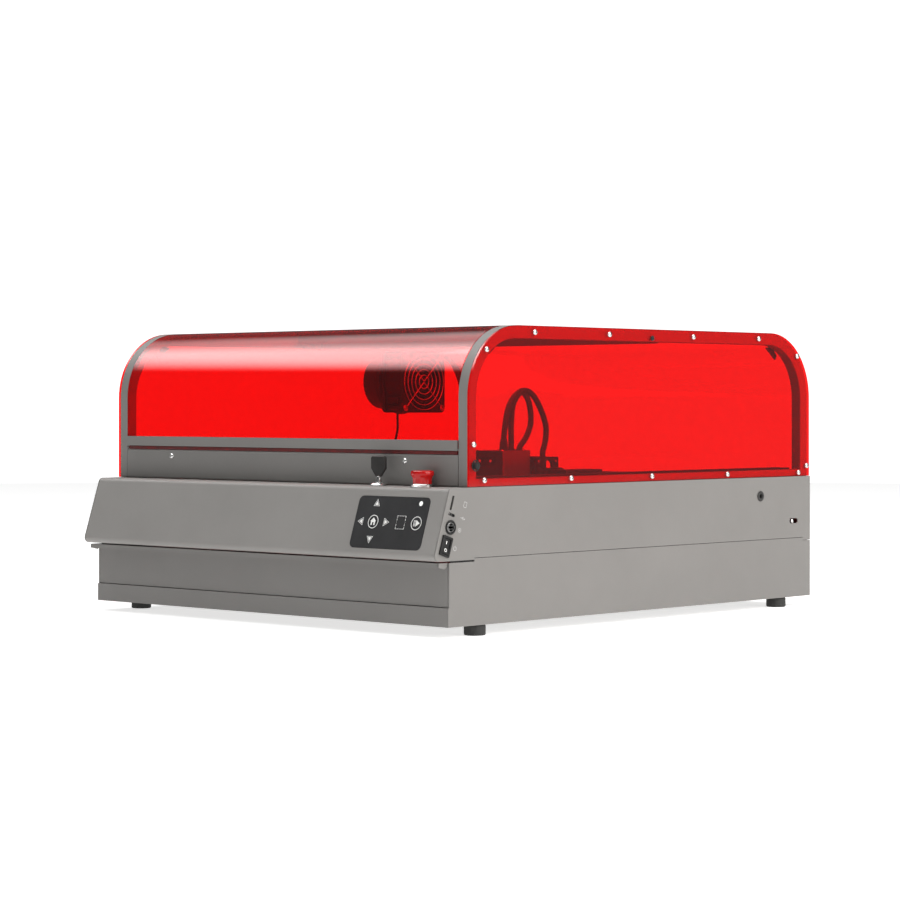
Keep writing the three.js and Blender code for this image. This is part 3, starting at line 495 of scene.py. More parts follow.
def lathe(shape, centre, axis, profile, segments=48):
    """Turns a profile of (along, radius) in millimetres round an axis through a machine point."""
    axis = Vector(axis).normalized()
    side, other = basis(axis)
    rings = []
    for along, radius in profile:
        middle = at(*centre) + axis * along * MM
        if radius < 1e-6:
            rings.append([shape.verts.new(middle)])
            continue
        turn = [2 * math.pi * step / segments for step in range(segments)]
        rings.append([
            shape.verts.new(middle + (side * math.cos(a) + other * math.sin(a)) * radius * MM) for a in turn
        ])
    for first, second in zip(rings, rings[1:]):
        for step in range(segments):
            after = (step + 1) % segments
            corners = [first[step % len(first)], first[after % len(first)]]
            corners += [second[after % len(second)], second[step % len(second)]]
            unique = list(dict.fromkeys(corners))
            if len(unique) > 2:
                shape.faces.new(unique)
    for ring in (rings[0], rings[-1]):
        if len(ring) > 2 and profile[0] != profile[-1]:
            shape.faces.new(ring)
    return shape


def extrude(shape, outline, place, depth):
    """Extrudes a closed outline of (u, v) millimetres: place(u, v, d) gives the machine point."""
    near = [shape.verts.new(at(*place(u, v, 0.0))) for u, v in outline]
    far = [shape.verts.new(at(*place(u, v, depth))) for u, v in outline]
    shape.faces.new(near)
    shape.faces.new(list(reversed(far)))
    count = len(outline)
    for step in range(count):
        after = (step + 1) % count
        shape.faces.new((near[step], far[step], far[after], near[after]))
    return shape


def block(shape, low, high):
    """A box between two machine corners."""
    outline = [(low[0], low[1]), (high[0], low[1]), (high[0], high[1]), (low[0], high[1])]
    return extrude(shape, outline, lambda u, v, d: (u, v, low[2] + d), high[2] - low[2])


def ring_band(shape, outer, inner, place, depth):
    """A flat band between two outlines with the same number of points."""
    layers = []
    for outline in (outer, inner):
        layers.append([
            [shape.verts.new(at(*place(u, v, d))) for u, v in outline] for d in (0.0, depth)
        ])
    count = len(outer)
    for step in range(count):
        after = (step + 1) % count
        for d in (0, 1):
            near, far = layers[0][d], layers[1][d]
            shape.faces.new((near[step], near[after], far[after], far[step]))
        for layer in layers:
            shape.faces.new((layer[0][step], layer[0][after], layer[1][after], layer[1][step]))
    return shape


def arc(centre, radius, first, last, steps):
    """Points on an arc in (u, v), with its angles in degrees."""
    points = []
    for step in range(steps + 1):
        angle = math.radians(first + (last - first) * step / steps)
        points.append((centre[0] + radius * math.cos(angle), centre[1] + radius * math.sin(angle)))
    return points


def rounded(width, height, radius, steps=6):
    """A rounded rectangle's outline."""
    points = []
    for corner, (sx, sy) in enumerate(((1, 1), (-1, 1), (-1, -1), (1, -1))):
        middle = (sx * (width / 2 - radius), sy * (height / 2 - radius))
        points += arc(middle, radius, 90 * corner, 90 * corner + 90, steps)
    return points


def smooth_path(points, per_span=6):
    """A Catmull-Rom curve through machine points."""
    ends = [points[0]] + list(points) + [points[-1]]
    result = []
    for first, a, b, last in zip(ends, ends[1:], ends[2:], ends[3:]):
        p0, p1, p2, p3 = (Vector(p) for p in (first, a, b, last))
        for step in range(per_span):
            t = step / per_span
            result.append(0.5 * ((2 * p1) + (p2 - p0) * t + (2 * p0 - 5 * p1 + 4 * p2 - p3) * t * t
                                 + (3 * p1 - p0 - 3 * p2 + p3) * t ** 3))
    result.append(Vector(points[-1]))
    return result


def tube(shape, path, radius, segments=12):
    """A round tube along machine points."""
    points = [Vector(p) for p in path]
    tangents = []
    for index in range(len(points)):
        before, after = points[max(0, index - 1)], points[min(len(points) - 1, index + 1)]
        tangents.append((after - before).normalized())
    side = tangents[0].orthogonal().normalized()
    rings = []
    for point, tangent in zip(points, tangents):
        side = (side - tangent * side.dot(tangent)).normalized()
        other = tangent.cross(side)
        ring = []
        for step in range(segments):
            angle = 2 * math.pi * step / segments
            out = side * math.cos(angle) + other * math.sin(angle)
            ring.append(shape.verts.new(at(*(point + out * radius))))
        rings.append(ring)
    for first, second in zip(rings, rings[1:]):
        for step in range(segments):
            after = (step + 1) % segments
            shape.faces.new((first[step], first[after], second[after], second[step]))
    shape.faces.new(rings[0])
    shape.faces.new(rings[-1])
    return shape


# ---------------------------------------------------------------- camera, floor and light

AMBIENT = 0.30
ROOM_LEFT = 0.10
ROOM_RIGHT = 0.25
SOFT_BOX = 7.0
BACKDROP = 1.25
FLOOR_GLOW = 0.62
FLOOR_RADIUS = 5.0


def set_camera():
    """The viewing angle: low, level, and a little right of the front corner."""
    data = bpy.data.cameras.new("view")
    data.lens = 105.84
    data.sensor_width = 36.0
    data.shift_y = -0.0526
    data.clip_end = 60.0
    camera = bpy.data.objects.new("view", data)
    bpy.context.scene.collection.objects.link(camera)
    camera.location = at(2128.08, -1971.10, 241.46)
    camera.rotation_euler = Vector((-0.6838, 0.7297, 0.0)).to_track_quat("-Z", "Y").to_euler()
    bpy.context.scene.camera = camera


def area_light(name, place, target, size, power, colour=(1.0, 1.0, 1.0)):
    data = bpy.data.lights.new(name, "AREA")
    data.shape = "RECTANGLE"
    data.size, data.size_y = size
    data.energy = power
    data.color = colour
    light = bpy.data.objects.new(name, data)
    bpy.context.scene.collection.objects.link(light)
    light.location = place
    light.rotation_euler = (Vector(target) - Vector(place)).to_track_quat("-Z", "Y").to_euler()
    return light


def ramp(nodes, links, value, first, last, low, high):
    """A smooth step from low at first to high at last."""
    node = nodes.new("ShaderNodeMapRange")
    node.interpolation_type = "SMOOTHSTEP"
    ends = (("From Min", first), ("From Max", last), ("To Min", low), ("To Max", high))
    for key, number in ends:
        node.inputs[key].default_value = number
    links.new(value, node.inputs["Value"])
    return node.outputs["Result"]


def combine(nodes, links, operation, first, second):
    node = nodes.new("ShaderNodeMath")
    node.operation = operation
    links.new(first, node.inputs[0])
    if isinstance(second, float):
        node.inputs[1].default_value = second
    else:
        links.new(second, node.inputs[1])
    return node.outputs[0]


def set_world():
    """White behind everything. In reflections it is a dim room with a soft box high at the front left."""
    world = bpy.data.worlds.new("studio")
    bpy.context.scene.world = world
    world.use_nodes = True
    nodes, links = world.node_tree.nodes, world.node_tree.links
    nodes.clear()
    path = nodes.new("ShaderNodeLightPath")
    coords = nodes.new("ShaderNodeTexCoord")
    split = nodes.new("ShaderNodeSeparateXYZ")
    links.new(coords.outputs["Generated"], split.inputs[0])
    x, y, z = split.outputs
    room = ramp(nodes, links, x, -0.7, 0.7, ROOM_LEFT, ROOM_RIGHT)
    box = ramp(nodes, links, z, 0.48, 0.66, 0.0, SOFT_BOX)
    box = combine(nodes, links, "MULTIPLY", box, ramp(nodes, links, y, -0.12, 0.22, 1.0, 0.25))
    box = combine(nodes, links, "MULTIPLY", box, ramp(nodes, links, x, -0.30, 0.30, 1.0, 0.12))
    mirrored = combine(nodes, links, "ADD", room, box)
    layers = []
    for strength in (AMBIENT, mirrored, BACKDROP):
        layer = nodes.new("ShaderNodeBackground")
        layer.inputs["Color"].default_value = (1.0, 1.0, 1.0, 1.0)
        if isinstance(strength, float):
            layer.inputs["Strength"].default_value = strength
        else:
            links.new(strength, layer.inputs["Strength"])
        layers.append(layer)
    shown = layers[0]
    for layer, ray in ((layers[1], "Is Glossy Ray"), (layers[2], "Is Camera Ray")):
        mix = nodes.new("ShaderNodeMixShader")
        links.new(path.outputs[ray], mix.inputs[0])
        links.new(shown.outputs[0], mix.inputs[1])
        links.new(layer.outputs[0], mix.inputs[2])
        shown = mix
    out = nodes.new("ShaderNodeOutputWorld")
    links.new(shown.outputs[0], out.inputs["Surface"])


def set_floor():
    """A plain, pale, round floor, with the faintest unevenness."""
    shape = bmesh.new()
    bmesh.ops.create_circle(shape, cap_ends=True, segments=96, radius=FLOOR_RADIUS)
    floor = add_piece("floor", shape, None, None)
    tree = Tree("floor_paper")
    fibre = tree.noise(60.0, 3.0)
    base = tree.blend(fibre, (0.86, 0.86, 0.86), (0.88, 0.88, 0.88))
    paper = tree.principled(base, 0.9, specular_ior_level=0.0, emission_strength=FLOOR_GLOW)
    paper.inputs["Emission Color"].default_value = (1.0, 1.0, 1.0, 1.0)
    floor.data.materials.append(tree.finish(paper))


def set_stage():
    set_camera()
    set_world()
    set_floor()
    area_light("overhead", (0.2, -0.1, 2.5), (0.0, 0.0, 0.0), (3.4, 3.4), 66.0)
    area_light("right_box", (3.4, 0.4, 1.5), (0.0, 0.0, 0.15), (2.2, 2.6), 105.0, (1.0, 0.975, 0.945))
    bpy.context.scene.view_settings.view_transform = "Standard"
    bpy.context.scene.view_settings.look = "None"


# ---------------------------------------------------------------- cover

def arch(offset, bottom=BASE_TOP + GAP, steps=20):
    """The cover's outline seen from the side, as (y, z), moved inwards."""
    front, rear, top = COVER_FRONT + offset, COVER_REAR - offset, COVER_TOP - offset
    radius = ARC_RADIUS - offset
    points = [(front, bottom + offset), (rear, bottom + offset)]
    points += arc((rear - radius, top - radius), radius, 0, 90, steps)
    points += arc((front + radius, top - radius), radius, 90, 180, steps)
    return points


def along_x(x0):
    """Places an outline of (y, z) at a plane across x."""
    return lambda u, v, d: (x0 + d, u, v)


def side_frame(side, sign, grey):
    """The sheet-metal arch: an outer band with a folded border that the side window lies on."""
    x0 = COVER_HALF + 0.5 if sign > 0 else -COVER_HALF - 0.5 - FRAME_BAND
    shape = bmesh.new()
    opening = arch(FRAME_BORDER, BASE_TOP + GAP + FRAME_FOOT - FRAME_BORDER)
    ring_band(shape, arch(0), opening, along_x(x0), FRAME_BAND)
    piece = add_piece(f"arch_{side}", shape, "chassis", grey, True, [f"side_frame_{side}"])
    return soften(piece, 0.7, 3)


def sheet_strip(shape, line, thickness, x0, x1):
    """A bent sheet: a line of (y, z) given a thickness towards its left, drawn out from x0 to x1."""
    points = [Vector(p) for p in line]
    inner = []
    for index, point in enumerate(points):
        before, after = points[max(0, index - 1)], points[min(len(points) - 1, index + 1)]
        along = (after - before).normalized()
        inner.append(point + Vector((-along.y, along.x)) * thickness)
    layers = []
    for x in (x0, x1):
        layers.append([[shape.verts.new(at(x, *p)) for p in line] for line in (points, inner)])
    (near_out, near_in), (far_out, far_in) = layers
    for a in range(len(points) - 1):
        b = a + 1
        shape.faces.new((near_out[a], near_out[b], far_out[b], far_out[a]))
        shape.faces.new((near_in[a], far_in[a], far_in[b], near_in[b]))
        shape.faces.new((near_out[a], near_in[a], near_in[b], near_out[b]))
        shape.faces.new((far_out[a], far_out[b], far_in[b], far_in[a]))
    for a in (0, len(points) - 1):
        shape.faces.new((near_out[a], far_out[a], far_in[a], near_in[a]))
    return shape


def bent_window(name, line, body, red, node):
    shape = sheet_strip(bmesh.new(), line, -ACRYLIC, -COVER_HALF, COVER_HALF)
    return add_piece(name, shape, body, red, True, [node])


def bent_windows(red):
    top, radius = COVER_TOP, ARC_RADIUS
    lid = [(COVER_FRONT, 193.6)]
    lid += list(reversed(arc((COVER_FRONT + radius, top - radius), radius, 90, 180, 32)))
    lid += [(HINGE_Y - 60, top), (HINGE_Y, top)]
    bent_window("lid_sheet", lid, "lid", red, "lid_window")
    rear = [(HINGE_Y + 8.5, top), (HINGE_Y + 90, top)]
    rear += list(reversed(arc((COVER_REAR - radius, top - radius), radius, 0, 90, 32)))
    rear += [(COVER_REAR, BASE_TOP + GAP)]
    bent_window("rear_sheet", rear, "chassis", red, "rear_window")


def pane(side, sign, red):
    """A flat side window, with the hole for the duct or for the light button."""
    x0 = 277.35 if sign > 0 else -WALL_X
    shape = bmesh.new()
    outline = arch(0)
    if sign < 0:
        hole = arc((FAN_Y, FAN_Z), 36.0, 0, 360, 64)[:-1]
    else:
        hole = arc(LIGHT_BUTTON, 4.6, 0, 360, 32)[:-1]
    for d in (0.0, 2.65):
        loops = []
        for line in (outline, hole):
            verts = [shape.verts.new(at(x0 + d, u, v)) for u, v in line]
            loops += [shape.edges.new((verts[i], verts[(i + 1) % len(verts)])) for i in range(len(verts))]
        bmesh.ops.triangle_fill(shape, use_beauty=True, edges=loops)
    shape.verts.ensure_lookup_table()
    count = len(outline) + len(hole)
    for first, length in ((0, len(outline)), (len(outline), len(hole))):
        for step in range(length):
            a, b = first + step, first + (step + 1) % length
            corners = [shape.verts[i] for i in (a, b, b + count, a + count)]
            shape.faces.new(corners)
    return add_piece(
        f"side_sheet_{side}", shape, "chassis", red, True, [f"side_window_{side}"],
    )


WINDOW_SCREWS = (
    (132.8, 316.0), (256.2, 316.0), (404.8, 316.0), (528.4, 316.0),
    (53.6, 161.0), (192.0, 160.4), (330.3, 159.8), (468.4, 159.2), (607.1, 158.6),
    (57.1, 296.9), (604.3, 296.7), (37.3, 198.3), (623.4, 166.5),
)


def dome_screw(shape, centre, axis, radius=3.1, height=1.7):
    """A domed button head with a hexagon socket sunk in it."""
    bore = radius * 0.42
    profile = [(0.0, radius)] + [
        (height * math.sin(math.radians(a)), radius * math.cos(math.radians(a))) for a in (18, 36, 52, 62)
    ]
    profile += [(height * 0.92, bore), (height * 0.2, bore * 0.96), (height * 0.2, 0.0)]
    return lathe(shape, centre, axis, profile, 18)


def screws(name, body, finish, axis, places, *size):
    """One piece made of dome screws that all face the same way."""
    shape = bmesh.new()
    for place in places:
        dome_screw(shape, place, axis, *size)
    add_piece(name, shape, body, finish, True)


def window_screws(chrome):
    for side, sign in SIDES:
        places = [(sign * (WALL_X + 0.02), y, z) for y, z in WINDOW_SCREWS]
        screws(f"window_screws_{side}", "chassis", chrome, (sign, 0, 0), places)


def sill_screws(chrome):
    places = [(x, COVER_FRONT - 0.02, 180.0) for x in (-185.7, 187.5)]
    screws("sill_screws", "chassis", chrome, (0, -1, 0), places, 3.2, 1.4)


def hinge_plates(steel, chrome, black):
    """The steel faces of the crossbar's lugs that carry the lid's pins, with screws and pivot caps."""
    lug = [(-17.4, -4.4), (13.4, -4.4), (13.4, -0.1), (3.9, -0.1), (3.9, 3.8), (-17.4, 3.8)]
    for side, sign in SIDES:
        shape = bmesh.new()
        outline = [(HINGE_Y + y, HINGE_Z + z) for y, z in lug]
        extrude(shape, outline, along_x(sign * 260.5 - 0.4), 0.8)
        add_piece(f"hinge_plate_{side}", shape, "chassis", steel, False)
        places = [(sign * 260.1, HINGE_Y + y, HINGE_Z - 2.3) for y in (-13.6, 10.2)]
        screws(f"hinge_screws_{side}", "chassis", chrome, (-sign, 0, 0), places, 1.9, 0.8)
        shape = bmesh.new()
        profile = [(0, 2.9), (1.0, 2.9), (1.6, 2.2), (1.6, 0.0)]
        lathe(shape, (sign * WALL_X, HINGE_Y, HINGE_Z), (sign, 0, 0), profile, 24)
        add_piece(f"pivot_cap_{side}", shape, "chassis", black, True)


def gussets(grey):
    """Folded corner plates at the front and rear of each arch, given the black anodised finish: a painted
    shade for the shade they are seen in through the sheet.
    """
    for side, sign in SIDES:
        shape = bmesh.new()
        for y, z, flip in ((86.0, 299.0, 1), (572.0, 299.0, -1)):
            outline = [
                (y - flip * 9, z - 7), (y + flip * 9, z + 7), (y - flip * 2, z + 9), (y - flip * 12, z - 2),
            ]
            extrude(shape, outline, along_x(sign * 264.0 - 1.0), 2.0)
        piece = add_piece(f"gussets_{side}", shape, "chassis", grey, False)
        soften(piece, 0.4)


def seals(rubber_finish):
    """A foam strip on the sill, under the lid's bar."""
    shape = bmesh.new()
    block(shape, (-262.0, COVER_FRONT + 0.6, 187.55), (262.0, COVER_FRONT + 4.2, 191.5))
    piece = add_piece("sill_seal", shape, "chassis", rubber_finish, False)
    soften(piece, 0.8, 3)


def light_button(chrome):
    shape = bmesh.new()
    profile = [(0, 3.9), (3.4, 3.9), (4.2, 3.5), (4.9, 2.9), (5.2, 2.2), (4.9, 1.4), (4.7, 0.0)]
    lathe(shape, (278.8, *LIGHT_BUTTON), (1, 0, 0), profile, 32)
    add_piece("light_push_button", shape, "light_button", chrome, True, ["light_switch"])
    shape = bmesh.new()
    profile = [(0, 5.9), (0.5, 5.9), (0.9, 5.5), (0.9, 4.9), (0, 4.9), (0, 5.9)]
    lathe(shape, (WALL_X + 0.03, *LIGHT_BUTTON), (1, 0, 0), profile, 32)
    add_piece("light_button_ring", shape, "chassis", chrome, True)


def build_cover(f):
    for side, sign in SIDES:
        side_frame(side, sign, f["arch"])
        pane(side, sign, f["acrylic"])
    bent_windows(f["acrylic"])
    window_screws(f["chrome"])
    sill_screws(f["chrome"])
    hinge_plates(f["steel"], f["chrome"], f["plastic"])
    # The gussets take the black anodised finish, a painted shade for their dark look through the windows.
    gussets(f["black_alloy"])
    seals(f["foam"])
    light_button(f["plastic"])


# ---------------------------------------------------------------- controls

KEYPAD_CENTRE = (205.9, 117.0)
OVERLAY_TOP = 0.4
KEY_LAYOUT = {
    "key_up": (-23.9, 19.8, 4.9), "key_left": (-41.4, 0.3, 4.9), "key_home": (-24.0, 0.3, 6.2),
    "key_right": (-6.0, 0.3, 4.9), "key_down": (-23.7, -18.1, 4.9), "key_frame": (15.9, 0.6, 6.6),
    "key_start": (38.3, 0.4, 6.2),
}
SLOPE_UP = Vector((0.0, math.sin(SLANT), math.cos(SLANT)))
SLOPE_OUT = Vector((0.0, -math.cos(SLANT), math.sin(SLANT)))


def on_slope(u, v, d):
    """A machine point on the slanted panel: across and up from the keypad's middle, and out of it."""
    x, z = KEYPAD_CENTRE
    middle = Vector((x, 0.9 - (BASE_TOP - z) * math.tan(SLANT), z))
    return tuple(middle + Vector((u, 0.0, 0.0)) + SLOPE_UP * v + SLOPE_OUT * d)


def shifted(centre, place, lift):
    """The same placing, moved to a centre and lifted off the surface."""
    return lambda u, v, d: place(centre[0] + u, centre[1] + v, lift + d)


INK_DEPTH = 0.03


def polygon_ring(count, radius, turn):
    return [
        (
            radius * math.cos(math.radians(turn + 360 * i / count)),
            radius * math.sin(math.radians(turn + 360 * i / count)),
        )
        for i in range(count)
    ]


def arrow_icon(shape, place, turn):
    """A filled triangle inside an outlined one, both within the key's cap."""
    ring_band(shape, polygon_ring(3, 5.15, turn), polygon_ring(3, 4.25, turn), place, INK_DEPTH)
    extrude(shape, polygon_ring(3, 2.9, turn), place, INK_DEPTH)


def round_outline(shape, place):
    ring_band(shape, polygon_ring(48, 7.3, 0), polygon_ring(48, 6.55, 0), place, INK_DEPTH)


def home_icon(shape, place):
    house = [(-3.0, -3.7), (-1.1, -3.7), (-1.1, -0.6), (1.1, -0.6), (1.1, -3.7), (3.0, -3.7), (3.0, 0.5)]
    house += [(4.1, 0.5), (0.0, 4.4), (-4.1, 0.5), (-3.0, 0.5)]
    extrude(shape, house, place, INK_DEPTH)


def start_icon(shape, place):
    for x in (-3.6, -2.0):
        extrude(shape, [(x, -3.3), (x + 0.7, -3.3), (x + 0.7, 3.3), (x, 3.3)], place, INK_DEPTH)
    extrude(shape, [(-0.5, -3.6), (4.9, 0.0), (-0.5, 3.6)], place, INK_DEPTH)


def frame_outline(shape, place):
    """A dashed square, for tracing the outline of the job."""
    for half, other, upright in ((6.0, 7.0, False), (7.0, 6.0, True)):
        for edge in (-1, 1):
            for dash in range(5):
                start = -half + dash * (2 * half + 0.9) / 5
                end = start + (2 * half - 3.6) / 5
                line = [(start, -0.26), (end, -0.26), (end, 0.26), (start, 0.26)]
                line = [(u, edge * other + v) for u, v in line]
                if upright:
                    line = [(v, u) for u, v in line]
                extrude(shape, line, place, INK_DEPTH)


ICONS = {
    "key_up": lambda shape, place: arrow_icon(shape, place, 90),
    "key_left": lambda shape, place: arrow_icon(shape, place, 180),
    "key_right": lambda shape, place: arrow_icon(shape, place, 0),
    "key_down": lambda shape, place: arrow_icon(shape, place, 270),
    "key_home": home_icon,
    "key_start": start_icon,
}
OUTLINES = {"key_home": round_outline, "key_start": round_outline, "key_frame": frame_outline}


def keypad_keys(f):
    """Each key is a shallow blister in the skin, with its printed sign riding on it."""
    rings = bmesh.new()
    for name, (u, v, radius) in KEY_LAYOUT.items():
        shape = bmesh.new()
        wide = radius + 0.27
        profile = [
            (-0.8, wide), (OVERLAY_TOP, wide), (0.43, wide * 0.96), (0.47, wide * 0.7), (0.5, wide * 0.3),
            (0.5, 0.0),
        ]
        lathe(shape, on_slope(u, v, 0.0), SLOPE_OUT, profile, 48)
        add_piece(f"{name}_blister", shape, f"{name}_cap", f["membrane"], True, [name])
        if name in ICONS:
            shape = bmesh.new()
            ICONS[name](shape, shifted((u, v), on_slope, 0.5))
            add_piece(f"{name}_sign", shape, f"{name}_cap", f["ink"], False)
        if name in OUTLINES:
            OUTLINES[name](rings, shifted((u, v), on_slope, OVERLAY_TOP + 0.01))
    add_piece("keypad_outlines", rings, "chassis", f["ink"], False)
    shape = bmesh.new()
    profile = [(0.38, 2.6), (0.5, 2.5), (0.62, 1.8), (0.66, 0.0)]
    lathe(shape, on_slope(38.9, 21.5, 0.0), SLOPE_OUT, profile, 32)
    add_piece("status_light", shape, "chassis", f["lamp"], True)
    shape = bmesh.new()
    outline = rounded(101.6, 54.8, 5.0, 8)
    ring_band(shape, outline, rounded(100.9, 54.1, 4.7, 8), shifted((0, 0), on_slope, OVERLAY_TOP), 0.04)
    add_piece("keypad_border", shape, "chassis", f["membrane"], False)


KEY_X = 164.0
STOP_X = 227.5
LEDGE_Y = 15.0


def key_switch(f):
    shape = bmesh.new()
    profile = [
        (-32.0, 8.0), (0.35, 8.0), (0.35, 9.6), (1.2, 9.6), (1.9, 8.9), (2.4, 8.1), (3.0, 7.3), (3.3, 6.0),
        (3.3, 3.9), (2.9, 3.6), (-8.0, 3.6), (-8.0, 0.0),
    ]
    lathe(shape, (KEY_X, LEDGE_Y, BASE_TOP), (0, 0, 1), profile, 56)
    add_piece("key_switch_nut", shape, "chassis", f["chrome"], True, ["key_switch_barrel"])
    shape = bmesh.new()
    block(shape, (KEY_X - 3.0, LEDGE_Y - 1.0, 147.0), (KEY_X + 3.0, LEDGE_Y + 1.0, 165.5))
    for side in (-1, 1):
        block(
            shape, (KEY_X + side * 1.4 - 0.35, LEDGE_Y - 1.25, 150.0),
            (KEY_X + side * 1.4 + 0.35, LEDGE_Y + 1.25, 164.0),
        )
    lathe(
        shape, (KEY_X, LEDGE_Y, 157.4), (0, 0, 1),
        [(0, 3.2), (0.5, 3.3), (3.5, 2.6), (6.5, 2.4), (6.5, 0.0)], 32,
    )
    blade = add_piece("key_blade", shape, "key", f["chrome"], True)
    soften(blade, 0.15)
    shape = bmesh.new()
    bow = [
        (-3.2, 163.2), (3.2, 163.2), (10.3, 172.0), (10.3, 183.2), (8.8, 185.0), (-8.8, 185.0),
        (-10.3, 183.2), (-10.3, 172.0),
    ]
    extrude(shape, bow, lambda u, v, d: (KEY_X + u, LEDGE_Y - 1.8 + d, v), 3.6)
    piece = add_piece("key_bow", shape, "key", f["key"], True, ["switch_key"])
    soften(piece, 0.7, 3)


def stop_button(f):
    shape = bmesh.new()
    profile = [
        (-36.0, 11.8), (0.35, 11.8), (0.35, 12.7), (0.9, 12.7), (1.3, 12.2), (2.2, 12.2), (2.6, 11.6),
        (3.0, 11.4),
        (3.0, 10.5), (-9.0, 10.5), (-9.0, 0.0),
    ]
    lathe(shape, (STOP_X, LEDGE_Y, BASE_TOP), (0, 0, 1), profile, 64)
    add_piece("stop_collar_ring", shape, "chassis", f["chrome"], True, ["estop_collar"])
    shape = bmesh.new()
    neck = [
        (-4.0, 10.0), (4.6, 10.0), (8.8, 10.1), (10.6, 10.9), (12.0, 12.2), (12.9, 12.5), (15.3, 12.5),
        (16.4, 12.0),
        (17.1, 11.0), (17.3, 9.4), (16.7, 7.6), (16.5, 0.0),
    ]
    lathe(shape, (STOP_X, LEDGE_Y, BASE_TOP), (0, 0, 1), neck, 72)
    flute_depth = 0.45
    for vert in shape.verts:
        height = (vert.co.z - at(0, 0, BASE_TOP).z) / MM
        if 3.0 < height < 16.0:
            middle = at(STOP_X, LEDGE_Y, 0)
            arm = Vector((vert.co.x - middle.x, vert.co.y - middle.y, 0.0))
            angle = math.atan2(arm.y, arm.x)
            inset = flute_depth * (0.5 - 0.5 * math.cos(12 * angle)) * MM
            vert.co -= arm.normalized() * inset
    piece = add_piece(
        "stop_mushroom", shape, "stop_button", f["stop"], True, ["estop_button"],
    )
    rounding = piece.modifiers.new("rounding", "SUBSURF")
    rounding.levels = rounding.render_levels = 1
    shape = bmesh.new()
    for quarter in range(3):
        middle = at(STOP_X, LEDGE_Y, BASE_TOP + 16.56)
        points = []
        for radius in (5.6, 4.8):
            sweep = [math.radians(120 * quarter + 10 + 70 * s / 10) for s in range(11)]
            points.append([middle + Vector((math.cos(a), math.sin(a), 0)) * radius * MM for a in sweep])
        outer, inner = ([shape.verts.new(p) for p in line] for line in points)
        for a, b, c, d in zip(outer, outer[1:], inner[1:], inner):
            shape.faces.new((a, b, c, d))
        tip = math.radians(120 * quarter + 92)
        base = math.radians(120 * quarter + 78)
        turns = ((base, 6.5), (tip, 5.2), (base, 3.9))
        head = [middle + Vector((math.cos(t), math.sin(t), 0)) * r * MM for t, r in turns]
        shape.faces.new([shape.verts.new(p) for p in head])
    add_piece("stop_arrows", shape, "stop_button", f["ink"], False)


# ---------------------------------------------------------------- ports, feet and fasteners

JACK_AT = (1.5, 114.0)


def on_cheek(y, z):
    """Places an outline that leans with the slanted panel on the right cheek."""
    up = (math.sin(SLANT), math.cos(SLANT))
    back = (math.cos(SLANT), -math.sin(SLANT))
    return lambda u, v, d: (WALL_X + d, y + back[0] * u + up[0] * v, z + back[1] * u + up[1] * v)


def leaning_box(shape, place, width, height, low, high, radius=0.8):
    return extrude(shape, rounded(width, height, radius, 4), shifted((0, 0), place, low), high - low)


def rocker_marks(f):
    """The line and the ring on the rocker's two faces, set on the CAD mesh's own faces."""
    mesh = NODES["power_rocker"].data
    middle = sum((v.co for v in mesh.vertices), Vector()) / len(mesh.vertices)
    halves = {}
    for face in mesh.polygons:
        if face.normal.x > 0.8:
            key = face.center.z > middle.z
            if key not in halves or face.area > halves[key].area:
                halves[key] = face
    shape = bmesh.new()
    for top, face in halves.items():
        twins = [p for p in mesh.polygons if p.normal.dot(face.normal) > 0.999]
        weight = sum(p.area for p in twins)
        centre = sum((p.center * p.area for p in twins), Vector()) / weight
        normal = face.normal.copy()
        side = Vector((0, 1, 0)) - normal * normal.y
        side = (Matrix.Rotation(-SLANT, 3, "X") @ side).normalized()
        side = (side - normal * side.dot(normal)).normalized()
        up = normal.cross(side)
        if up.z < 0:
            up = -up

        def spot(u, v, d):
            return centre + (side * u + up * v + normal * (0.02 + d)) * MM

        outline = [(-0.5, -1.7), (0.5, -1.7), (0.5, 1.7), (-0.5, 1.7)] if top else polygon_ring(24, 1.9, 0)
        near = [shape.verts.new(spot(u, v, 0.03)) for u, v in outline]
        if top:
            shape.faces.new(near)
        else:
            far = [shape.verts.new(spot(u, v, 0.03)) for u, v in polygon_ring(24, 1.2, 0)]
            for i in range(24):
                j = (i + 1) % 24
                shape.faces.new((near[i], near[j], far[j], far[i]))
    add_piece("rocker_marks", shape, "rocker", f["ink"], False)


def jack(f):
    """A round multi-pin socket: collar, insert, and its pins."""
    y, z = JACK_AT
    shape = bmesh.new()
    profile = [
        (-16.0, 6.1), (0.35, 6.1), (0.35, 7.5), (1.1, 7.5), (1.6, 7.0), (1.6, 5.9), (1.1, 5.5), (-1.2, 5.5),
        (-1.2, 0.0),
    ]
    lathe(shape, (WALL_X, y, z), (1, 0, 0), profile, 48)
    add_piece("jack_body", shape, "chassis", f["plastic"], True, ["power_jack"])
    shape = bmesh.new()
    profile = [(-1.1, 5.1), (0.9, 5.1), (1.2, 4.7), (1.2, 4.3), (-1.1, 4.3)]
    lathe(shape, (WALL_X, y, z), (1, 0, 0), profile, 40)
    for turn in (45, 135, 225, 315):
        a = math.radians(turn)
        spot = (WALL_X - 1.1, y + 2.4 * math.cos(a), z + 2.4 * math.sin(a))
        lathe(shape, spot, (1, 0, 0), [(0, 0.65), (1.7, 0.65), (2.1, 0.4), (2.1, 0.0)], 12)
    add_piece("jack_pins", shape, "chassis", f["steel"], True)


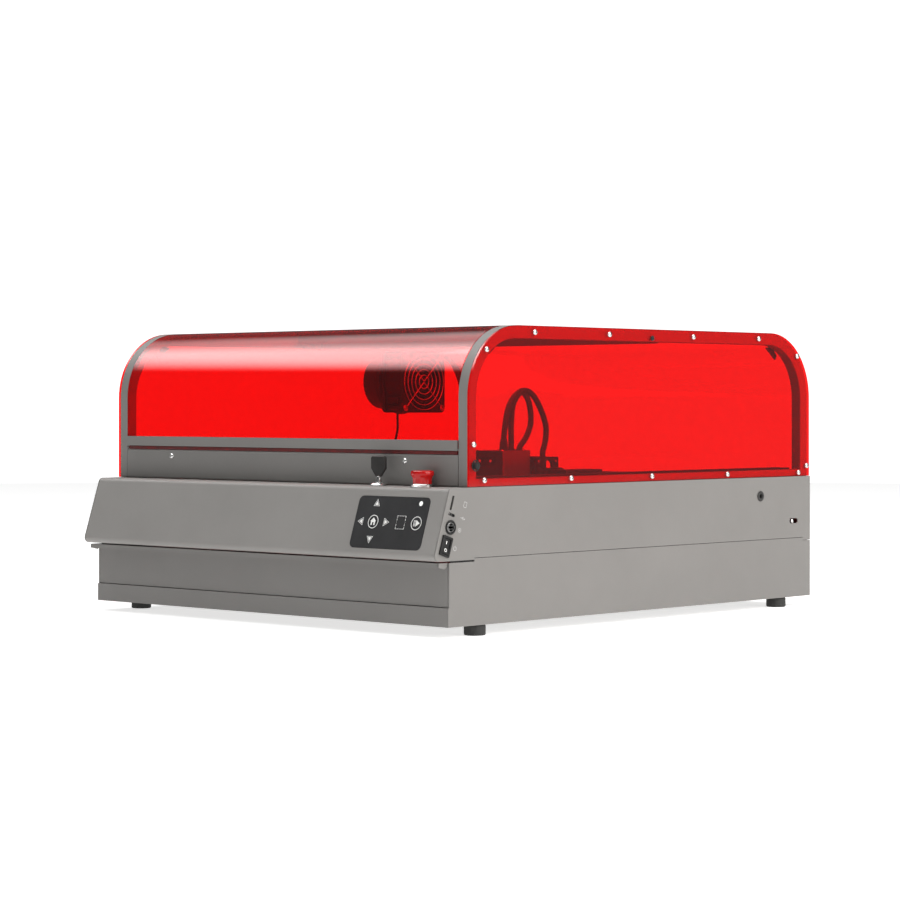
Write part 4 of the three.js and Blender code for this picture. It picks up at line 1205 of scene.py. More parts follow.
def data_socket(f):
    """The small oval data socket's shell and tongue, and a spring in the card slot."""
    place = on_cheek(3.5, 126.8)
    shape = bmesh.new()
    ring_band(
        shape, rounded(9.0, 2.9, 1.44, 8), rounded(8.4, 2.3, 1.14, 8), shifted((0, 0), place, -4.0), 4.0,
    )
    leaning_box(shape, place, 6.6, 0.7, -4.0, -0.9, 0.2)
    add_piece("data_socket_shell", shape, "chassis", f["plastic"], True)
    shape = bmesh.new()
    leaning_box(shape, on_cheek(4.25, 138.95), 2.2, 14.4, -3.4, -1.7, 0.4)
    add_piece("card_slot_shutter", shape, "chassis", f["plastic"], False)


def port_icons(f):
    """Small plain signs beside the sockets: a card, a data fork, a plug and a power ring."""
    shape = bmesh.new()
    card = shifted((0, 0), on_cheek(23.9, 136.5), 0.0)
    ring_band(shape, rounded(4.6, 6.0, 0.6, 3), rounded(3.7, 5.1, 0.4, 3), card, INK_DEPTH)
    fork = shifted((0, 0), on_cheek(20.0, 122.5), 0.0)
    extrude(shape, [(-3.4, -0.25), (2.6, -0.25), (2.6, 0.25), (-3.4, 0.25)], fork, INK_DEPTH)
    extrude(shape, [(2.4, -0.9), (4.0, 0.0), (2.4, 0.9)], fork, INK_DEPTH)
    extrude(
        shape, [(-1.6, 0.2), (-0.2, 1.6), (1.4, 1.6), (1.4, 1.2), (0.0, 1.2), (-1.1, 0.2)], fork, INK_DEPTH,
    )
    extrude(
        shape, [(-0.6, -0.2), (0.6, -1.4), (1.8, -1.4), (1.8, -1.0), (0.8, -1.0), (0.0, -0.2)], fork,
        INK_DEPTH,
    )
    plug = shifted((0, 0), on_cheek(15.4, 110.5), 0.0)
    ring_band(shape, rounded(4.4, 4.4, 2.1, 6), rounded(3.5, 3.5, 1.65, 6), plug, INK_DEPTH)
    extrude(shape, polygon_ring(16, 0.7, 0), plug, INK_DEPTH)
    power = shifted((0, 0), on_cheek(8.4, 92.0), 0.0)
    outer, inner = arc((0, 0), 2.4, 120, 420, 24), arc((0, 0), 1.95, 120, 420, 24)
    extrude(shape, outer + list(reversed(inner)), power, INK_DEPTH)
    extrude(shape, [(-0.25, 0.6), (0.25, 0.6), (0.25, 3.0), (-0.25, 3.0)], power, INK_DEPTH)
    add_piece("port_signs", shape, "chassis", f["grey_ink"], False)


def feet(f):
    """Turned rubber feet with a shallow round recess in the middle of the tread."""
    places = ((-266.5, 53.0), (266.5, 53.0), (-266.5, 580.0), (266.5, 580.0))
    for index, (x, y) in enumerate(places, 1):
        shape = bmesh.new()
        profile = [
            (0.6, 0.0), (0.6, 3.4), (0.0, 3.8), (0.0, 10.4), (0.5, 11.1), (1.4, 11.5), (9.6, 11.5),
            (10.4, 11.2),
            (11.15, 10.6), (11.15, 0.0),
        ]
        lathe(shape, (x, y, 0.0), (0, 0, 1), profile, 56)
        add_piece(
            f"rubber_foot_{index}", shape, "chassis", f["rubber"], True, [f"foot_{index}"],
        )


def shell_fasteners(f):
    """The belt tensioner's screw in each slot, and small screws along the base's rear and floor."""
    for side, sign in SIDES:
        place = (sign * 279.0, 595.0, 101.5)
        screws(f"tension_screw_{side}", "chassis", f["chrome"], (sign, 0, 0), [place], 2.7, 1.5)
    rear = [(x, DEPTH + 0.02, z) for x in (-262.0, -130.0, 0.0, 130.0, 262.0) for z in (92.0, 143.0, 40.0)]
    screws("rear_screws", "chassis", f["chrome"], (0, 1, 0), rear, 2.8, 1.3)
    floor = [(x, y, 11.48) for x in (-190.0, 0.0, 190.0) for y in (60.0, 320.0, 590.0)]
    screws("floor_screws", "chassis", f["chrome"], (0, 0, -1), floor, 2.8, 1.3)


def grommet(f):
    shape = bmesh.new()
    profile = [
        (-5.0, 4.3), (0.35, 4.3), (0.35, 6.0), (0.8, 6.0), (1.3, 5.4), (1.5, 4.2), (1.3, 3.2), (0.2, 2.6),
        (-4.0, 2.6), (-4.0, 0.0),
    ]
    lathe(shape, (WALL_X, 531.0, 132.2), (1, 0, 0), profile, 40)
    add_piece("cable_grommet", shape, "chassis", f["rubber"], True, ["hose_grommet"])


def drawer_details(f):
    """The drawer lip's folded ends."""
    for side, sign in SIDES:
        shape = bmesh.new()
        outline = [(-13.8, 77.7), (-1.2, 77.7), (-1.2, 73.6), (-4.5, 71.2), (-13.8, 73.2)]
        extrude(shape, outline, along_x(sign * 277.0 - 0.75), 1.5)
        piece = add_piece(f"lip_end_{side}", shape, "drawer", f["grey"], False)
        soften(piece, 0.3)


def build_controls(f):
    keypad_keys(f)
    key_switch(f)
    stop_button(f)
    rocker_marks(f)
    jack(f)
    data_socket(f)
    port_icons(f)
    feet(f)
    shell_fasteners(f)
    grommet(f)
    drawer_details(f)


# ---------------------------------------------------------------- exhaust fan

FAN_FRONT = -240.0
FAN_BACK = -276.65
FAN_HALF = 40.0
FAN_CORNER = 6.0
FAN_BORE = 37.0
FAN_FLANGE = 4.5
GUARD_SCREW_REACH = 34.0
GUARD_WIRE = 0.7
FAN_TURN = [2 * math.pi * i / 96 for i in range(96)]


def square_reach(angle, half, corner):
    """A point of a rounded square's outline in a direction."""
    u, v = math.cos(angle), math.sin(angle)
    scale = half / max(abs(u), abs(v))
    flat = half - corner
    if min(abs(u), abs(v)) * scale <= flat:
        return u * scale, v * scale
    centre = Vector((math.copysign(flat, u), math.copysign(flat, v)))
    direction = Vector((u, v))
    along = direction.dot(centre)
    reach = along + math.sqrt(max(0.0, corner ** 2 - centre.length_squared + along ** 2))
    return tuple(direction * reach)


def fan_circle(radius):
    return [(radius * math.cos(a), radius * math.sin(a)) for a in FAN_TURN]


def fan_flange(shape, x0):
    outer = [square_reach(a, FAN_HALF, FAN_CORNER) for a in FAN_TURN]
    ring_band(
        shape, outer, fan_circle(FAN_BORE), lambda u, v, d: (x0 + d, FAN_Y + u, FAN_Z + v), FAN_FLANGE,
    )


def fan_box(f):
    """An axial fan's body: two flanges, the barrel between them and four corner posts."""
    depth = FAN_FRONT - FAN_BACK
    shape = bmesh.new()
    fan_flange(shape, FAN_BACK)
    fan_flange(shape, FAN_FRONT - FAN_FLANGE)
    barrel, bore = fan_circle(39.2), fan_circle(FAN_BORE)
    ring_band(shape, barrel, bore, lambda u, v, d: (FAN_BACK + 4.4 + d, FAN_Y + u, FAN_Z + v), depth - 8.8)
    for sy, sz in CORNERS:
        spot = (FAN_BACK + 4.4, FAN_Y + sy * 33.5, FAN_Z + sz * 33.5)
        lathe(shape, spot, (1, 0, 0), [(0, 3.4), (depth - 8.8, 3.4)], 20)
    for z in (-24.0, 24.0):
        block(
            shape, (FAN_BACK + 8.0, FAN_Y - 39.6, FAN_Z + z - 4),
            (FAN_FRONT - 8.0, FAN_Y - 33.0, FAN_Z + z + 4),
        )
    piece = add_piece("fan_box", shape, "chassis", f["fan"], True, ["exhaust_fan_housing"])
    soften(piece, 0.5)
    shape = bmesh.new()
    for a in (20, 110, 200, 290):
        strut = math.radians(a)
        direction = (math.cos(strut), math.sin(strut))
        ends = [(FAN_BACK + 2.6, FAN_Y + r * direction[0], FAN_Z + r * direction[1]) for r in (15.0, 38.0)]
        tube(shape, ends, 1.6, 10)
    hub = [(0, 15.6), (3.6, 15.6), (4.2, 15.0), (4.2, 0.0)]
    lathe(shape, (FAN_BACK + 0.6, FAN_Y, FAN_Z), (1, 0, 0), hub, 48)
    add_piece("fan_struts", shape, "chassis", f["fan"], True)


def rotor(name, body, centre, tip, hub, width, blades, finish, node):
    """A hub with swept, twisted blades, turning about X."""
    x, y, z = centre
    shape = bmesh.new()
    dome = [
        (-width / 2, hub * 0.96), (width / 2 - 1.2, hub), (width / 2 - 0.4, hub * 0.94),
        (width / 2, hub * 0.82),
        (width / 2, hub * 0.4), (width / 2 - 0.5, hub * 0.34), (width / 2 - 0.5, 0.0),
    ]
    lathe(shape, centre, (1, 0, 0), dome, 48)
    rows, chords = 7, 6
    for blade in range(blades):
        start = 2 * math.pi * blade / blades
        faces = {}
        for layer in (-0.5, 0.5):
            for row in range(rows):
                r = hub * 0.95 + (tip - hub * 0.95) * row / (rows - 1)
                for chord in range(chords):
                    t = chord / (chords - 1)
                    span = (0.78 + 0.10 * row / rows) * 2 * math.pi / blades
                    angle = start + span * (t - 0.5) + 0.34 * (row / (rows - 1)) ** 1.5
                    thick = 1.3 * math.sin(math.pi * min(0.97, max(0.03, t))) ** 0.5 + 0.25
                    lift = (t - 0.5) * (width - 2.0) * 0.92 + 1.4 * math.sin(math.pi * t) + layer * thick
                    faces[layer, row, chord] = shape.verts.new(
                        at(x + lift, y + r * math.cos(angle), z + r * math.sin(angle))
                    )
        for row in range(rows - 1):
            for chord in range(chords - 1):
                for layer in (-0.5, 0.5):
                    cell = ((row, chord), (row + 1, chord), (row + 1, chord + 1), (row, chord + 1))
                    shape.faces.new([faces[layer, r, c] for r, c in cell])
        rim = [(0, c) for c in range(chords)] + [(r, chords - 1) for r in range(1, rows)]
        rim += [(rows - 1, c) for c in range(chords - 2, -1, -1)] + [(r, 0) for r in range(rows - 2, 0, -1)]
        for first, second in zip(rim, rim[1:] + rim[:1]):
            shape.faces.new(
                (faces[(-0.5, *first)], faces[(-0.5, *second)], faces[(0.5, *second)], faces[(0.5, *first)])
            )
    return add_piece(name, shape, body, finish, True, [node])


def wire_guard(f):
    """A finger guard of bent wire: five rings, two bent spokes and four eyelets with screws."""
    x = FAN_FRONT + 0.75
    shape = bmesh.new()
    for radius in (36.3, 29.8, 23.0, 15.9, 8.7):
        circle = [(x, FAN_Y + radius * math.cos(a), FAN_Z + radius * math.sin(a))
                  for a in (2 * math.pi * i / 64 for i in range(65))]
        tube(shape, circle, 0.68, 8)
    for side in (-1, 1):
        path = [(x, FAN_Y - 31.5, FAN_Z + side * 31.5), (x, FAN_Y - 3.2, FAN_Z + side * 3.6),
                (x, FAN_Y, FAN_Z + side * 1.8), (x, FAN_Y + 3.2, FAN_Z + side * 3.6),
                (x, FAN_Y + 31.5, FAN_Z + side * 31.5)]
        tube(shape, smooth_path(path, 5), GUARD_WIRE, 8)
    corners = [(FAN_Y + sy * GUARD_SCREW_REACH, FAN_Z + sz * GUARD_SCREW_REACH) for sy, sz in CORNERS]
    for y, z in corners:
        eye = [(x, y + 3.4 * math.cos(a), z + 3.4 * math.sin(a))
               for a in (2 * math.pi * i / 24 for i in range(25))]
        tube(shape, eye, GUARD_WIRE, 8)
    add_piece("wire_guard", shape, "chassis", f["guard"], True, ["fan_grille"])
    places = [(FAN_FRONT + 0.1, *corner) for corner in corners]
    screws("guard_screws", "chassis", f["guard"], (1, 0, 0), places, 2.6, 1.35)


def spigot(f):
    """The round outlet that a hose pushes onto: two beads, a flange and its screws."""
    shape = bmesh.new()
    profile = [
        (-316.0, 32.8), (-316.0, 34.4), (-315.4, 35.0), (-297.5, 35.0), (-296.0, 36.4), (-294.5, 36.7),
        (-293.0, 36.4),
    ]
    profile += [
        (-291.5, 35.0), (-284.2, 35.0), (-282.9, 36.2), (-282.9, 41.4), (-282.3, 42.0), (-280.35, 42.0),
    ]
    profile += [(-280.35, 35.0), (-277.4, 35.0), (-277.4, 32.8), (-316.0, 32.8)]
    lathe(shape, (0.0, FAN_Y, FAN_Z), (1, 0, 0), profile, 96)
    add_piece("hose_spigot", shape, "chassis", f["plastic"], True, ["duct_spigot"])
    turns = [math.radians(turn) for turn in (45, 135, 225, 315)]
    places = [(-282.9, FAN_Y + 38.8 * math.cos(a), FAN_Z + 38.8 * math.sin(a)) for a in turns]
    screws("spigot_screws", "chassis", f["chrome"], (-1, 0, 0), places, 2.0, 1.0)


def fan_lead(f):
    route = [
        (-254, 472, 228.15), (-254, 472, 222), (-254.4, 472, 205), (-262.25, 472, 178), (-262.25, 472, 150),
    ]
    route += [
        (-262.25, 472, 134), (-270, 442, 120), (-270, 340, 118), (-270, 240, 118), (-270, 120, 118),
        (-270, 60, 118),
    ]
    route += [(-264, 34, 120), (-240, 20, 122), (-200, 16, 122), (-152, 16, 122)]
    shape = bmesh.new()
    tube(shape, smooth_path(route, 5), 1.5, 10)
    add_piece("fan_lead", shape, "chassis", f["sleeve"], True, ["fan_cable"])


def build_fan(f):
    fan_box(f)
    rotor(
        "fan_blades", "exhaust_rotor", (-258.0, FAN_Y, FAN_Z), 35.4, 14.2, 21.0, 7, f["fan"],
        "exhaust_impeller",
    )
    wire_guard(f)
    spigot(f)
    fan_lead(f)


# ---------------------------------------------------------------- laser head

HEAD_LEFT, HEAD_RIGHT = 150.0, 200.0
HEAD_FRONT, HEAD_REAR = 170.0, 216.0
HEAD_TOP = 189.0
LASER_FAN = (HEAD_LEFT + 4.5, 193.0, 150.0)


def holed_plate(shape, outline, holes, place, depth):
    """A plate with any holes: its two faces are filled between the loops, and its edges are walled."""
    layers = []
    for d in (0.0, depth):
        loops, edges = [], []
        for line in (outline, *holes):
            verts = [shape.verts.new(at(*place(u, v, d))) for u, v in line]
            edges += [shape.edges.new((verts[i], verts[(i + 1) % len(verts)])) for i in range(len(verts))]
            loops.append(verts)
        bmesh.ops.triangle_fill(shape, use_beauty=True, edges=edges)
        layers.append(loops)
    for near, far in zip(*layers):
        for step in range(len(near)):
            after = (step + 1) % len(near)
            shape.faces.new((near[step], near[after], far[after], far[step]))
    return shape


def laser_module(f):
    """The diode module: a finned aluminium body, a front cover with its light slot, and a nozzle."""
    shape = bmesh.new()
    recess = arc((193.0, 150.0), 20.0, 0, 360, 48)[:-1]
    side = [
        (HEAD_FRONT + 1.2, 118.0), (HEAD_REAR, 118.0), (HEAD_REAR, HEAD_TOP), (HEAD_FRONT + 1.2, HEAD_TOP),
    ]
    holed_plate(shape, side, [recess], along_x(HEAD_LEFT), 9.0)
    extrude(shape, side, along_x(HEAD_LEFT + 9.0), HEAD_RIGHT - HEAD_LEFT - 9.0)
    body = add_piece("module_body", shape, "head", f["head_alloy"], True, ["laser_module"])
    soften(body, 0.9, 3)
    shape = bmesh.new()
    outline = [(HEAD_LEFT, 118.0), (HEAD_RIGHT, 118.0), (HEAD_RIGHT, HEAD_TOP), (HEAD_LEFT, HEAD_TOP)]
    holes = [
        [
            (HEAD_LEFT + 13, 181.8), (HEAD_LEFT + 41, 181.8), (HEAD_LEFT + 37, 171.3),
            (HEAD_LEFT + 17, 171.3),
        ],
        [(HEAD_LEFT + 9, 161.0), (HEAD_LEFT + 37, 161.0), (HEAD_LEFT + 40, 157.0), (HEAD_LEFT + 9, 157.0)],
    ]
    holed_plate(shape, outline, holes, lambda u, v, d: (u, HEAD_FRONT + d, v), 1.3)
    cover = add_piece("module_front", shape, "head", f["head_front"], True)
    soften(cover, 0.35)
    shape = bmesh.new()
    for x in (HEAD_LEFT + 16.0, HEAD_LEFT + 31.6):
        profile = [(0, 1.5), (0.6, 1.5), (0.8, 1.1), (0.8, 0.0)]
        lathe(shape, (x, HEAD_FRONT + 0.9, 177.6), (0, -1, 0), profile, 20)
    add_piece("module_leds", shape, "head", f["lamp"], True)
    shape = bmesh.new()
    for y, radius in ((187.0, 0.8), (193.4, 1.2), (198.6, 1.2)):
        lathe(
            shape, (HEAD_RIGHT + 0.02, y, 160.8), (1, 0, 0),
            [(0, radius), (0.25, radius * 0.9), (0.25, 0.0)], 16,
        )
    block(shape, (HEAD_LEFT - 0.3, HEAD_FRONT - 0.25, 112.0), (HEAD_RIGHT + 0.3, HEAD_REAR, 117.9))
    for low, high in ((156.4, 161.6), (170.7, 182.4)):
        block(shape, (HEAD_LEFT + 8, HEAD_FRONT + 0.9, low), (HEAD_LEFT + 42, HEAD_FRONT + 1.25, high))
    for z in (124.0, 131.0, 138.0, 145.0, 152.0):
        block(shape, (HEAD_RIGHT - 0.1, HEAD_FRONT + 6, z), (HEAD_RIGHT + 0.35, HEAD_REAR - 6, z + 2.6))
    piece = add_piece("module_trim", shape, "head", f["plastic"], True)
    soften(piece, 0.25)
    shape = bmesh.new()
    profile = [
        (-24.0, 5.2), (-24.0, 7.0), (-12.6, 12.6), (-9.0, 13.4), (-8.6, 14.6), (-0.2, 16.0), (0.4, 16.0),
        (0.4, 5.0), (-24.0, 5.2),
    ]
    lathe(shape, (175.0, 193.0, 112.0), (0, 0, 1), profile, 56)
    add_piece("nozzle", shape, "head", f["head_alloy"], True)
    fronts = (HEAD_FRONT + 6, HEAD_REAR - 6)
    places = [(x, y, HEAD_TOP) for x in (HEAD_LEFT + 5, HEAD_RIGHT - 5) for y in fronts]
    screws("module_screws", "head", f["chrome"], (0, 0, 1), places, 2.0, 1.1)


def carriage(f):
    """The block over the beam: a body with the belt's tunnel, and an end plate with a round window."""
    front, rear, low, high = 216.35, 254.0, 144.0, 181.5
    tunnel = [(248.6, low), (248.6, 172.0), (227.4, 172.0), (227.4, low)]
    outline = [(front, low), (front, high), (rear, high), (rear, low)] + tunnel
    shape = bmesh.new()
    holed_plate(shape, outline, [], along_x(152.0), 38.0)
    bridge = [(front, high - 3.2), (front, high), (rear, high), (rear, high - 3.2)]
    extrude(shape, bridge, along_x(190.0), 14.0)
    opening = [(248.6, low), (248.6, 163.4), (242.6, 163.6)]
    opening += arc((237.4, 170.9), 7.0, -52, 150, 30) + [
        (222.7, 171.7), (231.2, 166.2), (227.4, 163.4), (227.4, low),
    ]
    holed_plate(
        shape, [(front, low), (front, high), (rear, high), (rear, low)] + opening, [], along_x(204.0), 4.0,
    )
    piece = add_piece(
        "carriage_block", shape, "head", f["plastic"], True, ["head_carriage"],
    )
    soften(piece, 0.5)
    places = [(208.0, 221.0, 176.5), (208.0, 249.5, 176.5), (208.0, 221.0, 150.0), (208.0, 251.2, 150.0)]
    screws("carriage_screws", "head", f["steel"], (1, 0, 0), places, 1.9, 1.0)


def head_leads(f):
    """Two sleeved leads that loop from the module to the block and back, one with a ribbed relief."""
    x = 190.0
    top = HEAD_TOP + 0.2
    long = [
        (x, 183.2, top), (x, 183.2, 202), (x, 186.5, 222), (x, 192, 238), (x, 203, 250), (x, 217, 255),
        (x, 231, 250),
        (x, 244, 235), (x, 253, 216), (x, 252.5, 200), (x, 248, 187), (x, 248, 181.6),
    ]
    near = x - 2.0
    short = [
        (near, 197.5, top), (near, 197.5, 205), (near, 197.5, 220), (near, 201, 240), (near, 213, 252.5),
        (near, 224, 247),
        (near, 229.5, 232), (near, 229.5, 217), (near, 222, 203), (near, 212, 193), (near, 212, top),
    ]
    shape = bmesh.new()
    tube(shape, smooth_path(long, 7), 3.2, 20)
    tube(shape, smooth_path(short, 7), 3.2, 20)
    add_piece("head_leads", shape, "head", f["sleeve"], True, ["head_cables"])
    profile = [(0.0, 5.4)]
    for rib in range(6):
        base = 0.5 + rib * 1.9
        wide = 5.4 - 0.2 * rib
        profile += [(base, wide), (base + 0.9, wide), (base + 1.1, wide - 0.8), (base + 1.7, wide - 0.8)]
    profile += [(12.0, 4.0), (12.4, 3.4), (12.4, 0.0)]
    shape = bmesh.new()
    lathe(shape, (x, 183.2, top - 0.1), (0, 0, 1), profile, 32)
    for spot in ((near, 197.5), (near, 212.0)):
        lathe(shape, (*spot, HEAD_TOP), (0, 0, 1), [(0, 4.6), (1.2, 4.6), (1.7, 4.1), (1.7, 0.0)], 24)
    add_piece("lead_reliefs", shape, "head", f["rubber"], True)


def build_head(f):
    laser_module(f)
    rotor("module_fan", "laser_fan_rotor", LASER_FAN, 18.8, 8.0, 6.4, 7, f["fan"], "laser_fan")
    carriage(f)
    head_leads(f)


# ---------------------------------------------------------------- bed, drives and board

def ribbon(shape, line, thickness, z0, z1):
    """A zigzag strip standing on edge: a line of (x, y) given a thickness, from z0 up to z1."""
    points = [Vector(p) for p in line]
    other = [p + Vector((thickness, 0.0)) for p in points]
    levels = [[[shape.verts.new(at(*p, z)) for p in side] for side in (points, other)] for z in (z0, z1)]
    (low_a, low_b), (high_a, high_b) = levels
    for i in range(len(points) - 1):
        j = i + 1
        shape.faces.new((low_a[i], low_a[j], high_a[j], high_a[i]))
        shape.faces.new((low_b[j], low_b[i], high_b[i], high_b[j]))
        shape.faces.new((high_a[i], high_a[j], high_b[j], high_b[i]))
        shape.faces.new((low_a[j], low_a[i], low_b[i], low_b[j]))
    for i in (0, len(points) - 1):
        shape.faces.new((low_a[i], high_a[i], high_b[i], low_b[i]))
    return shape


BED = (-215.0, 215.0, 60.0, 500.0)
BED_TOP = 56.0
TRAY_TOP_FACE = 33.5
CELL = 9.0


def honeycomb(f):
    """The cutting bed: corrugated strips that make hexagonal cells, in a channel frame."""
    left, right, front, rear = BED
    shape = bmesh.new()
    inset = 8.0
    pitch = CELL * math.sqrt(3.0) / 2
    count = int((right - left - 2 * inset) / pitch)
    rows = int((rear - front - 2 * inset) / (CELL * 0.75)) - 1
    for column in range(count):
        base = left + inset + column * pitch
        line = []
        for row in range(rows):
            y = front + inset + row * CELL * 0.75
            out = (row + column) % 2 == 0
            x = base + (0.0 if out else pitch * 0.92)
            line += [(x, y), (x, y + CELL * 0.37)]
        ribbon(shape, line, 0.45, TRAY_TOP_FACE + 1.5, BED_TOP - 0.3)
    add_piece("honeycomb_core", shape, "drawer", f["zinc"], False, ["honeycomb_bed"])
    shape = bmesh.new()
    outer = [(left, front), (right, front), (right, rear), (left, rear)]
    inner = [
        (left + inset, front + inset), (right - inset, front + inset), (right - inset, rear - inset),
        (left + inset, rear - inset),
    ]
    ring_band(
        shape, outer, inner, lambda u, v, d: (u, v, TRAY_TOP_FACE + 0.4 + d), BED_TOP - TRAY_TOP_FACE - 0.4,
    )
    piece = add_piece("bed_frame", shape, "drawer", f["rail_alloy"], False)
    soften(piece, 0.8)
    places = [(x, y, BED_TOP) for x in (left + 4, 0.0, right - 4) for y in (front + 4, rear - 4)]
    screws("bed_screws", "drawer", f["chrome"], (0, 0, 1), places, 2.2, 1.1)


def seam_backing(f):
    """Folded strips behind the gaps between the sheets, which keep light in; they take the black fan
    moulding, a painted shade for the dark inside of the gaps.
    """
    shape = bmesh.new()
    for sign in (-1, 1):
        x0, x1 = sorted((sign * 278.4, sign * 276.9))
        block(shape, (x0, 3.0, 72.0), (x1, 626.0, 88.0))
    block(shape, (-276.0, 2.2, 78.6), (276.0, 3.6, 91.0))
    block(shape, (-276.0, 626.6, 72.0), (276.0, 628.3, 88.0))
    add_piece("seam_backing", shape, "chassis", f["fan"], False)


def board_parts(f):
    """Chips, sockets and cans on the control board, with rows of plugs along its lower edge."""
    low, high = machine_box("control_board")
    draw = random.Random(11)
    shape = bmesh.new()
    cans = bmesh.new()
    rear = high.y
    for column in range(9):
        x = low.x + 20 + column * (high.x - low.x - 40) / 8
        block(shape, (x - 6, rear, low.z + 3), (x + 6, rear + 7.0, low.z + 10))
        size = draw.uniform(3.0, 7.0)
        z = draw.uniform(low.z + 20, high.z - 12)
        block(shape, (x - size, rear, z - size * 0.8), (x + size, rear + 1.6, z + size * 0.8))
        if column % 2:
            profile = [(0, 4.0), (8.5, 4.0), (9.0, 3.6), (9.0, 0.0)]
            lathe(cans, (x + 8, rear, high.z - 9), (0, 1, 0), profile, 24)
    chips = add_piece("board_chips", shape, "chassis", f["plastic"], False)
    soften(chips, 0.3)
    add_piece("board_cans", cans, "chassis", f["chrome"], True)


MOTOR_SCREW_REACH = 15.5
Y_MOTOR_DEPTH = 41.0


def motor_screws(node, axis, ends, body, finish):
    """Four dome screws on each stated end of a square motor, along its axis."""
    low, high = machine_box(node)
    if node == "y_motor":
        high.y = low.y + Y_MOTOR_DEPTH
    shape = bmesh.new()
    first, second = [i for i in range(3) if i != axis]
    for sign in ends:
        for along in (-1, 1):
            for across in (-1, 1):
                spot = [(low[i] + high[i]) / 2 for i in range(3)]
                spot[first] += along * MOTOR_SCREW_REACH
                spot[second] += across * MOTOR_SCREW_REACH
                spot[axis] = high[axis] if sign > 0 else low[axis]
                direction = [0, 0, 0]
                direction[axis] = sign
                dome_screw(shape, tuple(spot), tuple(direction), 2.2, 1.1)
    add_piece(f"{node}_screws", shape, body, finish, True)


def build_bed(f):
    honeycomb(f)
    seam_backing(f)
    board_parts(f)
    motor_screws("y_motor", 0, (-1, 1), "chassis", f["chrome"])
    motor_screws("x_motor", 2, (-1,), "gantry", f["chrome"])


# ---------------------------------------------------------------- finishes on the CAD nodes

def dress(node, material, width=0.0):
    """Gives a CAD node a finish and, where its edges are too sharp, a small rounding."""
    piece = NODES[node]
    piece.data.materials.clear()
    piece.data.materials.append(material)
    if width:
        soften(piece, width)
    return piece


FINISHES = {
    "grey": powder_coat("grey_powder_coat"),
    # A 1.28 times lighter copy of the grey paint for the slanted control panel: painted light for the light
    # its up-tilted face catches.
    "panel": powder_coat("panel_coat_painted_light", tone(PAINT, 1.28)),
    # The arch's paint is 2.2 times lighter on the faces that look along X: painted light on the flanks seen
    # through the side windows.
    "arch": powder_coat("arch_coat_painted_flank_light", painted_flank_light=2.2),
    "acrylic": acrylic("red_acrylic_sheet"),
    "plastic": moulded("black_moulding", (0.022, 0.022, 0.022)),
    "key": moulded("key_moulding", (0.030, 0.029, 0.028), 0.34, 700.0, 0.0003),
    "rubber": rubber("black_rubber_grain"),
    "chrome": metal("plated_metal", (0.62, 0.62, 0.61), 0.14),
    "steel": metal("drawn_steel", (0.34, 0.34, 0.335), 0.34, "X"),
    "membrane": membrane("keypad_skin"),
    "ink": ink("white_ink"),
    "grey_ink": ink("grey_ink", (0.42, 0.42, 0.41)),
    "stop": glossy_red("stop_cap"),
    "board": board("board_green"),
    "zinc": zinc("galvanised_strip"),
    "sleeve": sleeve("cable_jacket"),
    "black_alloy": anodised("black_anodised", (0.045, 0.045, 0.047)),
    "head_alloy": anodised("head_anodised", (0.23, 0.225, 0.22), "Z"),
    "belt_x": rubber_belt("belt_across", "X"),
    "belt_y": rubber_belt("belt_along", "Y"),
    "foam": rubber("red_foam", (0.075, 0.006, 0.006)),
    "guard": metal("guard_wire", (0.62, 0.60, 0.60), 0.32),
    "head_front": anodised("head_front_cover", (0.060, 0.058, 0.058), "Z"),
    "rail_alloy": anodised("drawn_rail", (0.42, 0.42, 0.42), "Y", 0.32),
    "lamp": lamp("light_pipe", (0.85, 0.86, 0.84)),
    "fan": moulded("fan_moulding", (0.030, 0.030, 0.031), 0.4, 1100.0, 0.0003),
}

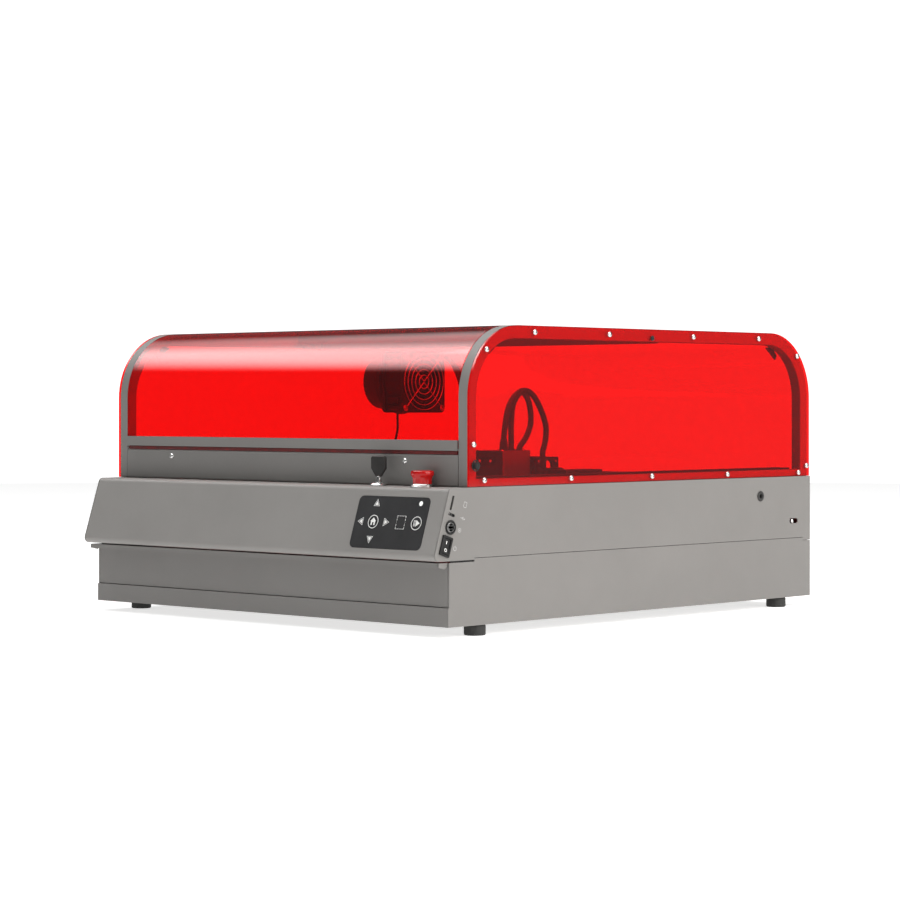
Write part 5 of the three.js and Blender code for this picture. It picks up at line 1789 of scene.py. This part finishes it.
NODE_FINISH = {
    "lower_shell": ("grey", 0.5), "upper_shell": ("grey", 0.5), "control_panel": ("panel", 0.5),
    "keypad_overlay": ("membrane", 0.15), "key_switch_barrel": ("chrome", 0.4), "switch_key": ("key", 0.4),
    "estop_collar": ("chrome", 0.3), "estop_button": ("stop", 0.6), "rocker_bezel": ("plastic", 0.3),
    "power_rocker": ("plastic", 0.4), "power_jack": ("plastic", 0.3), "card_reader": ("chrome", 0.1),
    "hose_grommet": ("rubber", 0.3), "control_board": ("board", 0.1), "front_sill": ("grey", 0.4),
    "side_frame_left": ("grey", 0.3), "side_frame_right": ("grey", 0.3),
    "side_window_left": ("acrylic", 0.3), "side_window_right": ("acrylic", 0.3),
    "light_switch": ("chrome", 0.3), "rear_window": ("acrylic", 0.0), "top_crossbar": ("grey", 0.4),
    "lid_window": ("acrylic", 0.0), "lid_handle_bar": ("grey", 0.4), "lid_hinge_bar": ("grey", 0.4),
    "drawer_front": ("grey", 0.4), "drawer_tray": ("grey", 0.3), "honeycomb_bed": ("zinc", 0.0),
    "y_rail_left": ("black_alloy", 0.3), "y_rail_right": ("black_alloy", 0.3),
    "y_belt_left": ("belt_y", 0.0), "y_belt_right": ("belt_y", 0.0),
    "y_carriage_left": ("black_alloy", 0.3), "y_carriage_right": ("black_alloy", 0.3),
    "y_motor": ("plastic", 0.4), "y_drive_shaft": ("steel", 0.1), "x_beam": ("black_alloy", 0.3),
    "x_motor": ("plastic", 0.4), "x_drive_pulley": ("steel", 0.1), "x_belt": ("belt_x", 0.0),
    "head_carriage": ("head_alloy", 0.4), "laser_module": ("head_alloy", 0.5), "laser_fan": ("fan", 0.2),
    "head_cables": ("sleeve", 0.0), "exhaust_fan_housing": ("fan", 0.6), "exhaust_impeller": ("fan", 0.3),
    "fan_grille": ("steel", 0.0), "duct_spigot": ("plastic", 0.4), "fan_cable": ("sleeve", 0.0),
}


def dress_nodes():
    for node, (finish, width) in NODE_FINISH.items():
        dress(node, FINISHES[finish], width)
    for node in NODES:
        if node.startswith("foot_"):
            dress(node, FINISHES["rubber"], 0.4)
        elif node.startswith("key_") and node != "key_switch_barrel":
            dress(node, FINISHES["membrane"], 0.12)
    missing = sorted(n for n in NODES if n not in NODE_FINISH and not n.startswith(("foot_", "key_")))
    assert not missing, missing


dress_nodes()
build_cover(FINISHES)
build_controls(FINISHES)
build_fan(FINISHES)
build_head(FINISHES)
build_bed(FINISHES)
set_stage()

bpy.context.view_layer.update()
